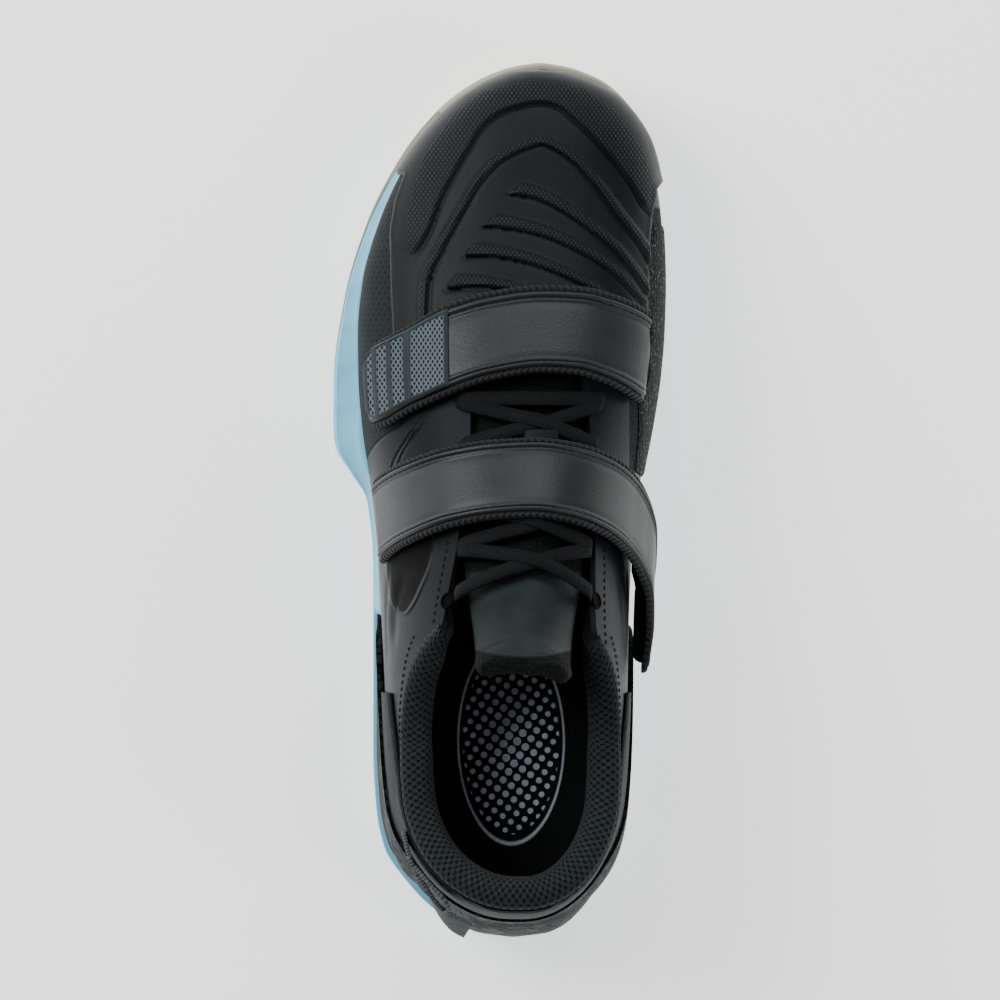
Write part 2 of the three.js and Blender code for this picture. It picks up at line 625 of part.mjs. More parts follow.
// Outsole: the tread slab with cross lugs, and a thin wrap up the toe
const none = () => 0;
const outsoleTop = (y) => bottomAt(y) + OUTSOLE_THICKNESS;
const slab = soleForm([
  { heel: TREAD_BEVEL, toe: TREAD_BEVEL, draft: 0, height: bottomAt, side: () => TREAD_BEVEL },
  { heel: 0, toe: 0, draft: 0, height: (y) => bottomAt(y) + TREAD_BEVEL, side: none },
  { heel: 0, toe: 0, draft: 0, height: outsoleTop, side: none },
]);
const wrapForm = soleForm([
  { heel: 0, toe: 0, draft: 0, height: (y) => bottomAt(y) + OUTSOLE_THICKNESS / 2, side: none },
  { heel: 0, toe: TOE_DRAFT / 3, draft: 1 / 3, height: (y) => topAt(y) - TOE_WRAP_WALL, side: none },
  { heel: 0, toe: TOE_DRAFT, draft: 1, height: (y) => topAt(y) + TOE_WRAP_HEIGHT, side: none },
]);
const wrapRegion = uprightPrism([
  [-CLEAR_WIDTH, alongY(WRAP_START[0].along)],
  ...WRAP_START.map((row) => [acrossX(row.across), alongY(row.along)]),
  [CLEAR_WIDTH, alongY(WRAP_START[1].along)],
  [CLEAR_WIDTH, alongY(BEYOND_TOE)],
  [-CLEAR_WIDTH, alongY(BEYOND_TOE)],
], 0, CLEAR_HEIGHT);

// The lugs: straight grooves across the tread, where the sole meets the ground
function lugGrooves() {
  const grooves = [];
  const count = Math.floor(LENGTH / LUG_PITCH);
  for (let i = 1; i < count; i += 1) {
    const y = alongY(0) + i * LUG_PITCH;
    if (archAt(y) === 0) {
      const [rear, front] = [y - LUG_GROOVE_WIDTH / 2, y + LUG_GROOVE_WIDTH / 2];
      grooves.push(sidePrism([
        [rear, -LUG_GROOVE_DEPTH],
        [front, -LUG_GROOVE_DEPTH],
        [front, bottomAt(y) + LUG_GROOVE_DEPTH],
        [rear, bottomAt(y) + LUG_GROOVE_DEPTH],
      ], CLEAR_WIDTH));
    }
  }
  return grooves;
}

const midsoleClear = solidOf(midsoleForm(GAP));
const toeWrap = solidOf(wrapForm)
  .intersect(wrapRegion)
  .subtract(midsoleClear)
  .subtract(lastForm(2 * GAP + OVERLAY));
const tread = lugGrooves().reduce((whole, groove) => whole.subtract(groove), solidOf(slab));
const outsole = mainBody(tread.add(toeWrap));

// Midsole: the whole wedge between the outsole and the foot
const midsole = solidOf(midsoleForm(0));

// Insole: the sockliner on the sole's top, inside the upper's wall
const insole = mainBody(underSole(GAP + INSOLE_THICKNESS)
  .subtract(underSole(GAP))
  .intersect(lastForm(-(WALL + 2 * GAP))));

// Heel clip: a moulded stabiliser round the heel, from the sole's side up over the upper's foot
const clipForm = (grow) => solidOf(soleForm(CLIP_SIDE.map((row) => ({
  heel: row.lean * HEEL_DRAFT - grow,
  toe: 0,
  draft: row.draft,
  height: () => lerp(CLIP_FOOT, CLIP_HEIGHT + grow, row.up),
  side: () => row.inset * CLIP_WALL - grow,
})))).add(lastForm(GAP + CLIP_WALL + grow));
const clipEdge = (lift) => sideEdge(CLIP_TOP, (up) => up * CLIP_HEIGHT + lift);
const clipRegion = (grow) => sidePrism([
  ...clipEdge(grow),
  [alongY(SOLE_CHANGES.clipEnd[1]) + grow, CLIP_FOOT + GAP - grow],
  [alongY(CLIP_TOP[0].along), CLIP_FOOT + GAP - grow],
], CLEAR_WIDTH);
const heelClip = mainBody(clipForm(0)
  .intersect(clipRegion(0))
  .subtract(midsoleClear)
  .subtract(lastForm(GAP)));

// Heel counter: a smooth skin between the clip and the collar
const counterRegion = sidePrism([
  ...clipEdge(2 * GAP).filter(([y]) => y < alongY(COUNTER_TOP[0].along)),
  ...COUNTER_TOP.map((row) => [alongY(row.along), toplineZ(row.up)]),
], CLEAR_WIDTH);
const counter = mainBody(lastShell(GAP, GAP + OVERLAY)
  .intersect(counterRegion)
  .subtract(underSole(GAP)));

// Collar pad: the padded ring inside the topline
const collarPad = mainBody(lastShell(-(WALL + GAP + COLLAR_PADDING), -(WALL + GAP))
  .intersect(overTopline(COLLAR_DEPTH))
  .subtract(overTopline(-COLLAR_REVEAL))
  .subtract(throatPrism(COLLAR_REVEAL)));

// Tongue: one pad under the throat, standing up in front of the ankle
const TONGUE_EDGE = [
  { along: 0.306, lateral: -0.120, medial: 0.215 },
  { along: 0.350, lateral: -0.125, medial: 0.225 },
  { along: 0.450, lateral: -0.150, medial: 0.270 },
  { along: 0.600, lateral: -0.150, medial: 0.290 },
  { along: 0.690, lateral: -0.090, medial: 0.240 },
];
const tongue = mainBody(lastShell(-(WALL + GAP + TONGUE_THICKNESS), -(WALL + GAP))
  .intersect(planPrism(TONGUE_EDGE, 0, HEEL_STACK)));

// Straps: bands over the instep. A row gives the turn on the last, the place of the middle line
// along the shoe as a share of LENGTH, how far out it lies and its width as shares of STRAP_WIDTH.
const FRONT_STRAP = [
  { turn: -0.446, along: 0.622, out: 0.062, width: 0.72 },
  { turn: -0.420, along: 0.628, out: 0.062, width: 0.94 },
  { turn: -0.360, along: 0.636, out: 0.066, width: 1.00 },
  { turn: -0.269, along: 0.649, out: 0.092, width: 1.00 },
  { turn: -0.177, along: 0.664, out: 0.112, width: 1.00 },
  { turn: -0.085, along: 0.676, out: 0.114, width: 1.00 },
  { turn: 0.015, along: 0.683, out: 0.114, width: 1.00 },
  { turn: 0.100, along: 0.682, out: 0.114, width: 1.00 },
  { turn: 0.184, along: 0.676, out: 0.114, width: 1.00 },
  { turn: 0.292, along: 0.666, out: 0.100, width: 1.00 },
  { turn: 0.370, along: 0.658, out: 0.066, width: 1.00 },
];
const REAR_STRAP = [
  { turn: -0.510, along: 0.472, out: 0.030, width: 1.00 },
  { turn: -0.454, along: 0.482, out: 0.035, width: 1.00 },
  { turn: -0.299, along: 0.499, out: 0.084, width: 1.00 },
  { turn: -0.183, along: 0.510, out: 0.112, width: 1.00 },
  { turn: -0.084, along: 0.516, out: 0.114, width: 1.00 },
  { turn: 0.010, along: 0.518, out: 0.114, width: 1.00 },
  { turn: 0.120, along: 0.514, out: 0.114, width: 1.00 },
  { turn: 0.247, along: 0.503, out: 0.114, width: 1.00 },
  { turn: 0.370, along: 0.484, out: 0.122, width: 1.00 },
  { turn: 0.450, along: 0.462, out: 0.160, width: 1.00 },
  { turn: 0.520, along: 0.430, out: 0.210, width: 0.98 },
  { turn: 0.575, along: 0.390, out: 0.200, width: 0.94 },
  { turn: 0.600, along: 0.356, out: 0.160, width: 0.94 },
  { turn: 0.620, along: 0.340, out: 0.150, width: 0.84 },
];

// The tab's reach on the front strap, and its width as a share of the strap's
const TAB = { from: -0.436, to: -0.180, width: 0.84 };

// A strap's section: across is a share of its half width, drop a share of its thickness
const STRAP_SECTION = [
  { across: -1, drop: 0.3 },
  { across: -0.86, drop: 0 },
  { across: 0, drop: 0 },
  { across: 0.86, drop: 0 },
  { across: 1, drop: 0.3 },
];

// The row number on the last where a turn's line passes a place along the shoe
function placeAlong(turn, y) {
  let [low, high] = [0, LAST_SECTIONS.length - 1];
  for (let i = 0; i < 30; i += 1) {
    const middle = (low + high) / 2;
    if (lastPoint(middle, turn).y > y) low = middle;
    else high = middle;
  }
  return (low + high) / 2;
}

// How far apart rows of the last lie at a place, in millimetres
function rowLength(place, turn, out) {
  const ahead = lastOut(place + WIDTH_STEP, turn, out);
  return ahead.distanceTo(lastOut(place - WIDTH_STEP, turn, out)) / (2 * WIDTH_STEP);
}

// A band on the last between two turns of its table, lifted by lift
function bandForm(rows, from, to, lift, thickness, widthShare) {
  const loops = [];
  for (let i = 0; i <= STRAP_STATIONS; i += 1) {
    const turn = lerp(from, to, i / STRAP_STATIONS);
    const value = (name) => column(rows, 'turn', turn, name);
    const place = placeAlong(turn, alongY(value('along')));
    const out = value('out') * STRAP_WIDTH + lift;
    const half = (value('width') * widthShare * STRAP_WIDTH) / 2 / rowLength(place, turn, out);
    const high = STRAP_SECTION.map((row) => (
      lastOut(place + row.across * half, turn, out + thickness * (1 - row.drop))
    ));
    const low = STRAP_SECTION.map((row) => lastOut(place + row.across * half, turn, out));
    loops.push([...high, ...low.reverse()]);
  }
  return solidOf(loft(loops));
}

const ends = (rows) => [rows[0].turn, rows[rows.length - 1].turn];
const strapFront = bandForm(FRONT_STRAP, ...ends(FRONT_STRAP), 0, STRAP_THICKNESS, 1);
const strapRear = bandForm(REAR_STRAP, ...ends(REAR_STRAP), 0, STRAP_THICKNESS, 1);
const tabLift = STRAP_THICKNESS + GAP;
const strapTab = bandForm(FRONT_STRAP, TAB.from, TAB.to, tabLift, TAB_THICKNESS, TAB.width);

// Laces: crossings between rows of eyelets, joined where they cross, on the edges of the throat
const EYELETS = [
  { along: 0.612, lateral: -0.197, medial: 0.245 },
  { along: 0.556, lateral: -0.200, medial: 0.254 },
  { along: 0.500, lateral: -0.206, medial: 0.262 },
  { along: 0.444, lateral: -0.216, medial: 0.268 },
  { along: 0.388, lateral: -0.232, medial: 0.276 },
];

function laceRun(from, to) {
  const loops = [];
  for (let i = 0; i <= LACE_STATIONS; i += 1) {
    const turn = lerp(from.turn, to.turn, i / LACE_STATIONS);
    const along = lerp(from.along, to.along, i / LACE_STATIONS);
    const place = placeAlong(turn, alongY(along));
    const half = LACE_WIDTH / 2 / rowLength(place, turn, 0);
    loops.push([
      lastOut(place - half, turn, LACE_LIFT),
      lastOut(place - half, turn, LACE_LIFT + LACE_THICKNESS),
      lastOut(place + half, turn, LACE_LIFT + LACE_THICKNESS),
      lastOut(place + half, turn, LACE_LIFT),
    ]);
  }
  return solidOf(loft(loops));
}

const eyelet = (row, side) => ({ turn: EYELETS[row][side], along: EYELETS[row].along });
let laces = laceRun(eyelet(0, 'lateral'), eyelet(0, 'medial'));
for (let row = 0; row + 1 < EYELETS.length; row += 1) {
  laces = laces.add(laceRun(eyelet(row, 'lateral'), eyelet(row + 1, 'medial')));
  laces = laces.add(laceRun(eyelet(row, 'medial'), eyelet(row + 1, 'lateral')));
}

// Pull loop: webbing on edge, sewn to the quarter in front and to the heel clip behind.
// Points of its middle line, in shares of LENGTH, BALL_WIDTH and COUNTER_HEIGHT over the sole's top.
const LOOP_OUTER = [
  { along: 0.128, across: -0.298, up: 0.560 },
  { along: 0.098, across: -0.280, up: 0.580 },
  { along: 0.066, across: -0.234, up: 0.570 },
  { along: 0.040, across: -0.190, up: 0.520 },
  { along: 0.024, across: -0.146, up: 0.430 },
  { along: 0.015, across: -0.104, up: 0.330 },
];
const LOOP_INNER = [
  { along: 0.090, across: -0.268, up: 0.600 },
  { along: 0.070, across: -0.222, up: 0.640 },
  { along: 0.052, across: -0.178, up: 0.640 },
  { along: 0.040, across: -0.166, up: 0.580 },
  { along: 0.036, across: -0.182, up: 0.520 },
];

function webbing(rows) {
  const path = new THREE.CatmullRomCurve3(rows.map((row) => new THREE.Vector3(
    acrossX(row.across),
    alongY(row.along),
    toplineZ(row.up),
  )));
  const steps = 2 * (rows.length - 1);
  const loops = [];
  for (let i = 0; i <= steps; i += 1) {
    const point = path.getPoint(i / steps);
    const tangent = path.getTangent(i / steps);
    const side = new THREE.Vector3(tangent.y, -tangent.x, 0).normalize();
    const rise = new THREE.Vector3().crossVectors(tangent, side).normalize();
    const corner = (s, r) => point.clone()
      .addScaledVector(side, (s * WEBBING_THICKNESS) / 2)
      .addScaledVector(rise, (r * WEBBING_WIDTH) / 2);
    loops.push([corner(-1, -1), corner(1, -1), corner(1, 1), corner(-1, 1)]);
  }
  return solidOf(loft(loops));
}

const loopClear = clipForm(GAP).intersect(clipRegion(GAP)).add(lastForm(2 * GAP + OVERLAY));
const pullLoop = mainBody(webbing(LOOP_OUTER)
  .add(webbing(LOOP_INNER))
  .subtract(loopClear));

const group = new THREE.Group();

function addPiece(name, solid, colour, roughness) {
  const material = new THREE.MeshStandardMaterial({ color: colour, roughness, metalness: 0 });
  const piece = new THREE.Mesh(geometryOf(solid), material);
  piece.name = name;
  group.add(piece);
}

addPiece('outsole', outsole, 0xb1b1a9, 0.8);
addPiece('midsole', midsole, 0xa5cbd9, 0.6);
addPiece('heel_clip', heelClip, 0x1d2124, 0.6);
addPiece('insole', insole, 0x0b0c10, 0.9);
addPiece('upper', upper, 0x242a2c, 0.7);
addPiece('vamp_overlay', vampOverlay, 0x2a3032, 0.6);
addPiece('heel_counter', counter, 0x21262a, 0.5);
addPiece('collar_pad', collarPad, 0x1c2223, 0.9);
addPiece('tongue', tongue, 0x2c3536, 0.7);
addPiece('laces', laces, 0x1e2426, 0.9);
addPiece('strap_front', strapFront, 0x3c4043, 0.6);
addPiece('strap_rear', strapRear, 0x3c4043, 0.6);
addPiece('strap_tab', strapTab, 0x77848c, 0.6);
addPiece('pull_loop', pullLoop, 0x6b767c, 0.8);

// The origin is under the middle of the whole shoe, on the ground
const box = new THREE.Box3().setFromObject(group);
const centre = box.getCenter(new THREE.Vector3());
group.position.set(-centre.x, -centre.y, -box.min.z);

export default group;
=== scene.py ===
import math
import bmesh
import bpy
import numpy as np
from mathutils import Matrix, Vector
from mathutils.bvhtree import BVHTree
from mathutils.kdtree import KDTree


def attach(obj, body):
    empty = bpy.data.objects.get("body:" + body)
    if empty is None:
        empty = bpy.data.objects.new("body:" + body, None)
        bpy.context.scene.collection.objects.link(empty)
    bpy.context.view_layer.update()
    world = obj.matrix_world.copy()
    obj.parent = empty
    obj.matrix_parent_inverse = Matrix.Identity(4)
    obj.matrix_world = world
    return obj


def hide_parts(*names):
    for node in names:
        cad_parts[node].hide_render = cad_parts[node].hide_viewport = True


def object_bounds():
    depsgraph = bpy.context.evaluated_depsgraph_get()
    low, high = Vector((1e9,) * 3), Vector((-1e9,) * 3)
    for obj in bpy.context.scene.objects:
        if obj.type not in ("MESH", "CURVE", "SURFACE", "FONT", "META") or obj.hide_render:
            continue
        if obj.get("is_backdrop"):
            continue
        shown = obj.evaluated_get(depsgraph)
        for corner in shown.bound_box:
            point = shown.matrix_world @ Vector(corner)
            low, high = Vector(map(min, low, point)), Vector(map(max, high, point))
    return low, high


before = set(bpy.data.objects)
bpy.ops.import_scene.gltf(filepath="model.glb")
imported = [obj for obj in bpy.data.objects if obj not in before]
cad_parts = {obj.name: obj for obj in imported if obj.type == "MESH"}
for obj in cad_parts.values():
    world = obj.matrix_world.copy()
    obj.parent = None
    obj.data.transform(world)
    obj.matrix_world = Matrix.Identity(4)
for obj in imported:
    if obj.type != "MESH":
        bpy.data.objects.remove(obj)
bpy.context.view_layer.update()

# Outsole.
# Greige rubber under the whole shoe, moulded with flat cross lugs and glued to the midsole. At the
# toe a thin lip of it wraps up over the midsole's front.
LENGTH = 0.300
BALL_WIDTH = 0.114
FOREFOOT_STACK = 0.017
HEEL_STACK = 0.037
TOE_SPRING = 0.008
ARCH_HEIGHT = 0.0035
OUTSOLE_THICKNESS = 0.0042
HEEL_DRAFT = 0.0085
TOE_DRAFT = 0.0012
TOE_WRAP_WALL = 0.0026
TOE_WRAP_HEIGHT = 0.004
LUG_PITCH = 0.013
LUG_GROOVE = 0.0024
LUG_DEPTH = 0.0018
GAP = 0.0003
GREIGE = "#aba99c"


def table(names, rows):
    return {name: np.array(values, float) for name, values in zip(names.split(), zip(*rows))}


# Shares of the length from the heel and of the ball width, with how far the top edge leans in
SOLE_OUTLINE = table("along lateral medial lateral_draft medial_draft", [
    (0.000, 0.040, 0.040, 0.000, 0.000),
    (0.006, -0.070, 0.150, 0.010, 0.010),
    (0.025, -0.174, 0.226, 0.020, 0.020),
    (0.065, -0.282, 0.304, 0.022, 0.020),
    (0.105, -0.349, 0.353, 0.020, 0.018),
    (0.150, -0.372, 0.381, 0.016, 0.014),
    (0.217, -0.381, 0.388, 0.014, 0.012),
    (0.333, -0.380, 0.384, 0.012, 0.010),
    (0.433, -0.381, 0.382, 0.012, 0.006),
    (0.505, -0.400, 0.408, 0.014, 0.006),
    (0.535, -0.446, 0.427, 0.034, 0.006),
    (0.565, -0.492, 0.446, 0.070, 0.006),
    (0.585, -0.500, 0.458, 0.077, 0.006),
    (0.640, -0.499, 0.480, 0.072, 0.006),
    (0.733, -0.466, 0.493, 0.042, 0.006),
    (0.817, -0.400, 0.490, 0.032, 0.008),
    (0.893, -0.298, 0.455, 0.030, 0.008),
    (0.943, -0.195, 0.404, 0.022, 0.008),
    (0.975, -0.088, 0.325, 0.012, 0.006),
    (0.994, 0.028, 0.212, 0.004, 0.004),
    (1.000, 0.120, 0.120, 0.000, 0.000),
])


def column(rows, key, name, at):
    """A column of a table between its rows, on a soft curve through every row."""
    x, y = rows[key], rows[name]
    slope = np.diff(y) / np.diff(x)
    both = slope[:-1] * slope[1:]
    total = np.where(both > 0, slope[:-1] + slope[1:], 1)
    tangent = np.concatenate([slope[:1], np.where(both > 0, 2 * both / total, 0), slope[-1:]])
    at = np.clip(at, x[0], x[-1])
    i = np.clip(np.searchsorted(x, at, side="right") - 1, 0, len(x) - 2)
    width = x[i + 1] - x[i]
    t = (at - x[i]) / width
    rise = y[i + 1] - y[i]
    a, b = tangent[i] * width, tangent[i + 1] * width
    return y[i] + a * t + (3 * rise - 2 * a - b) * t**2 + (a + b - 2 * rise) * t**3


def ramp(value, low, high):
    t = np.clip((value - low) / (high - low), 0, 1)
    return t * t * (3 - 2 * t)


def along_y(share):
    return (share - 0.5) * LENGTH


def share_of(y):
    return y / LENGTH + 0.5


SIDE_SHIFT = -BALL_WIDTH * (SOLE_OUTLINE["lateral"].min() + SOLE_OUTLINE["medial"].max()) / 2


def across_x(share):
    return share * BALL_WIDTH + SIDE_SHIFT


def spring_at(y):
    return TOE_SPRING * np.clip((share_of(y) - 0.78) / 0.22, 0, 1) ** 2


def bottom_at(y):
    share = share_of(y)
    return spring_at(y) + ARCH_HEIGHT * ramp(share, 0.33, 0.42) * (1 - ramp(share, 0.49, 0.57))


def top_at(y):
    stack = HEEL_STACK + (FOREFOOT_STACK - HEEL_STACK) * ramp(share_of(y), 0.150, 0.667)
    return spring_at(y) + stack


def sole_rings(levels, shares):
    """Rings across the sole at shares of its length: up the lateral side and down the medial."""
    lateral, medial = [], []
    for level in levels:
        y = along_y(0) + level.get("heel", 0) + shares * (
            LENGTH - level.get("heel", 0) - level.get("toe", 0))
        left = across_x(column(SOLE_OUTLINE, "along", "lateral", shares))
        right = across_x(column(SOLE_OUTLINE, "along", "medial", shares))
        middle, half = (left + right) / 2, (right - left) / 2
        inset = level["inset"](share_of(y)) if "inset" in level else 0
        extra = level["flare"](share_of(y)) if "flare" in level else 0
        draft = level.get("draft", 0) * BALL_WIDTH
        left_draft = draft * column(SOLE_OUTLINE, "along", "lateral_draft", shares)
        right_draft = draft * column(SOLE_OUTLINE, "along", "medial_draft", shares)
        z = level["height"](y)
        left = middle - np.maximum(half - inset - extra - left_draft, 0.0002)
        right = middle + np.maximum(half - inset - right_draft, 0.0002)
        lateral.append(np.stack([left, y, z], -1))
        medial.append(np.stack([right, y, z], -1))
    return np.stack(lateral + medial[::-1], 1)


def end_shares(count):
    return np.clip((1 - np.cos(np.pi * np.arange(count + 1) / count)) / 2, 0.0004, 0.9996)


def move_verts(skin, points):
    for vert, point in zip(skin.verts, points):
        vert.co = point


def tube(points):
    """A closed skin through rings of as many points each."""
    rings, count = points.shape[:2]
    skin = bmesh.new()
    bmesh.ops.create_grid(skin, x_segments=rings - 1, y_segments=count, size=0.5)
    flat = np.array([vert.co for vert in skin.verts])
    i = np.rint((flat[:, 0] + 0.5) * (rings - 1)).astype(int)
    j = np.rint((flat[:, 1] + 0.5) * count).astype(int) % count
    move_verts(skin, points[i, j])
    bmesh.ops.remove_doubles(skin, verts=skin.verts, dist=1e-6)
    bmesh.ops.holes_fill(skin, edges=skin.edges[:], sides=0)
    bmesh.ops.recalc_face_normals(skin, faces=skin.faces[:])
    return skin


def take(skin, other):
    """Moves another skin's faces into a skin, as one joined mesh."""
    spare = bpy.data.meshes.new("spare")
    other.to_mesh(spare)
    other.free()
    skin.from_mesh(spare)
    bpy.data.meshes.remove(spare)


def add_piece(name, skin, finish, slot, *nodes, sharp=40):
    mesh = bpy.data.meshes.new(name)
    skin.to_mesh(mesh)
    skin.free()
    mesh.materials.append(finish)
    mesh.polygons.foreach_set("use_smooth", np.ones(len(mesh.polygons), bool))
    mesh.set_sharp_from_angle(angle=math.radians(sharp))
    piece = bpy.data.objects.new(name, mesh)
    bpy.context.scene.collection.objects.link(piece)
    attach(piece, "root")
    if nodes:
        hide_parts(*nodes)
    return piece


def colour(code, gain=1.0):
    """A colour as it looks under the stage's light, as the shader's own, with alpha."""
    parts = [int(code[i:i + 2], 16) / 255 for i in (1, 3, 5)]
    plain = [c / 12.92 if c <= 0.04045 else ((c + 0.055) / 1.055) ** 2.4 for c in parts]
    return (*[min(1.0, c * (0.25 + 1.25 * c) * gain) for c in plain], 1.0)


def new_finish(name):
    material = bpy.data.materials.new(name)
    material.use_nodes = True
    shader = material.node_tree.nodes["Principled BSDF"]
    shader.inputs["Specular IOR Level"].default_value = 0.12
    return material, material.node_tree, shader


def add(tree, kind, inputs=None, **settings):
    """A shader node, with each input a socket to link or a value to set."""
    node = tree.nodes.new("ShaderNode" + kind)
    for key, value in settings.items():
        setattr(node, key, value)
    for key, value in (inputs or {}).items():
        if isinstance(value, bpy.types.NodeSocket):
            tree.links.new(value, node.inputs[key])
        else:
            node.inputs[key].default_value = value
    return node


def maths(tree, operation, *values, clamp=False):
    return add(tree, "Math", dict(enumerate(values)), operation=operation, use_clamp=clamp).outputs[0]


def place_of(tree, scale=(1, 1, 1), turn=(0, 0, 0), source="Object"):
    """Coordinates on the piece, turned and then scaled."""
    where = add(tree, "TexCoord").outputs[source]
    turned = add(tree, "Mapping", {"Vector": where, "Rotation": turn})
    return add(tree, "Mapping", {"Vector": turned.outputs[0], "Scale": scale}).outputs[0]


def noise(tree, where, size, detail=2.0, rough=0.5):
    node = add(tree, "TexNoise", {"Vector": where, "Scale": 1 / size, "Detail": detail, "Roughness": rough})
    return node.outputs[0]


def between(tree, value, low, high, to_low=0.0, to_high=1.0):
    return add(tree, "MapRange", {
        "Value": value, "From Min": low, "From Max": high, "To Min": to_low, "To Max": to_high},
        clamp=True).outputs[0]


def blend_colours(tree, share, first, second):
    node = add(tree, "Mix", {0: share, 6: first, 7: second}, data_type="RGBA")
    return node.outputs[2]


def bump(tree, shader, height, depth, strength=1.0, under=None):
    inputs = {"Height": height, "Distance": depth, "Strength": strength}
    if under is not None:
        inputs["Normal"] = under
    normal = add(tree, "Bump", inputs).outputs[0]
    tree.links.new(normal, shader.inputs["Normal"])
    return normal


def rubber_finish():
    material, tree, shader = new_finish("greige_rubber")
    where = place_of(tree)
    cloud = noise(tree, where, 0.02, 3)
    speck = noise(tree, where, 0.0006, 2)
    tint = blend_colours(tree, between(tree, cloud, 0.3, 0.7), colour(GREIGE, 0.86), colour(GREIGE, 1.04))
    tree.links.new(tint, shader.inputs["Base Color"])
    tree.links.new(between(tree, speck, 0.3, 0.7, 0.62, 0.74), shader.inputs["Roughness"])
    shader.inputs["Specular IOR Level"].default_value = 0.35
    bump(tree, shader, speck, 0.00005)
    return material


def raised(base, lift):
    return lambda y: base(y) + lift


tread = tube(sole_rings([
    {"height": raised(bottom_at, LUG_DEPTH), "inset": lambda s: 0.0012 + 0 * s, "heel": 0.0012,
     "toe": 0.0012},
    {"height": raised(bottom_at, LUG_DEPTH), "inset": lambda s: 0.0004 + 0 * s, "heel": 0.0004,
     "toe": 0.0004},
    {"height": raised(bottom_at, LUG_DEPTH + 0.0004)},
    {"height": raised(bottom_at, OUTSOLE_THICKNESS - 0.0003)},
    {"height": raised(bottom_at, OUTSOLE_THICKNESS), "inset": lambda s: 0.0003 + 0 * s, "heel": 0.0003,
     "toe": 0.0003},
], end_shares(160)))
lug_edges = [along_y(0) + i * LUG_PITCH for i in range(int(LENGTH / LUG_PITCH) + 1)] + [along_y(1)]
lugs = [(rear + LUG_GROOVE / 2, front - LUG_GROOVE / 2) for rear, front in zip(lug_edges, lug_edges[1:])]
for rear, front in lugs:
    if front - rear > 0.002 and not 0.31 < share_of((rear + front) / 2) < 0.59:
        step = min(0.0006, (front - rear) / 5)
        spots = np.array([rear, rear + step, *np.linspace(rear + step, front - step, 6)[1:-1], front - step,
                          front])
        rings = sole_rings([
            {"height": bottom_at, "inset": lambda s: 0.001 + 0 * s},
            {"height": raised(bottom_at, 0.0006), "inset": lambda s: 0.0004 + 0 * s},
            {"height": raised(bottom_at, LUG_DEPTH + 0.0006), "inset": lambda s: 0.0004 + 0 * s},
        ], np.clip(share_of(spots), 0.0004, 0.9996))
        for end in (0, -1):
            rings[end, [0, -1], 2] += 0.0006
        take(tread, tube(rings))


def outline_curve(count):
    """The sole's plan outline from the heel up the lateral side to the toe and back, evenly spaced,
    with the direction that points out of it."""
    shares = end_shares(400)
    left = np.stack([across_x(column(SOLE_OUTLINE, "along", "lateral", shares)), along_y(shares)], -1)
    right = np.stack([across_x(column(SOLE_OUTLINE, "along", "medial", shares)), along_y(shares)], -1)
    ring = np.concatenate([left, right[::-1]])
    ring = np.concatenate([ring, ring[:1]])
    run = np.concatenate([[0], np.cumsum(np.linalg.norm(np.diff(ring, axis=0), axis=1))])
    spots = np.linspace(0, run[-1], count, endpoint=False)
    ring = np.stack([np.interp(spots, run, ring[:, k]) for k in (0, 1)], -1)
    for _ in range(6):
        ring = (np.roll(ring, 1, 0) + 2 * ring + np.roll(ring, -1, 0)) / 4
    ahead = np.roll(ring, -1, 0) - np.roll(ring, 1, 0)
    out = np.stack([-ahead[:, 1], ahead[:, 0]], -1)
    return ring, out / np.linalg.norm(out, axis=1, keepdims=True)


ring, ring_out = outline_curve(800)
share = share_of(ring[:, 1])
start = np.where(ring_out[:, 0] < 0, 0.945, 0.890)
lip = np.flatnonzero(share > start)
ring, ring_out, share = ring[lip], ring_out[lip], share[lip]
fade = ramp(np.minimum(np.arange(len(lip)), np.arange(len(lip))[::-1]), 0, 30)[:, None]
low = bottom_at(ring[:, 1])
high = top_at(ring[:, 1]) + TOE_WRAP_HEIGHT
LIP_PROFILE = table("lean height", [
    (-0.0001, 0.05), (-0.0001, 0.35), (0.0002, 0.60), (0.0008, 0.90), (0.0011, 0.97), (0.0016, 1.00),
                                    (0.0026, 1.00),
    (0.0031, 0.97), (0.0033, 0.90), (0.0032, 0.60), (0.0030, 0.35), (0.0028, 0.05)])
loops = []
for lean, height in zip(LIP_PROFILE["lean"], LIP_PROFILE["height"]):
    plan = ring - ring_out * lean
    z = low + (high - low) * height * (0.45 + 0.55 * fade[:, 0])
    loops.append(np.concatenate([plan, z[:, None]], 1))
take(tread, tube(np.stack(loops, 1)))
rubber = rubber_finish()
add_piece("outsole_tread", tread, rubber, "outsole", "outsole")

# Midsole.
# One moulded wedge of stiff pale teal polyurethane between the tread and the foot, high at the heel.
# On the lateral forefoot it flares out in a step with soft upright bands and a chamfered corner.
CLIP_WALL = 0.0022
CLIP_FOOT = 0.012
CLIP_END = 0.372
TEAL = "#9acbdd"


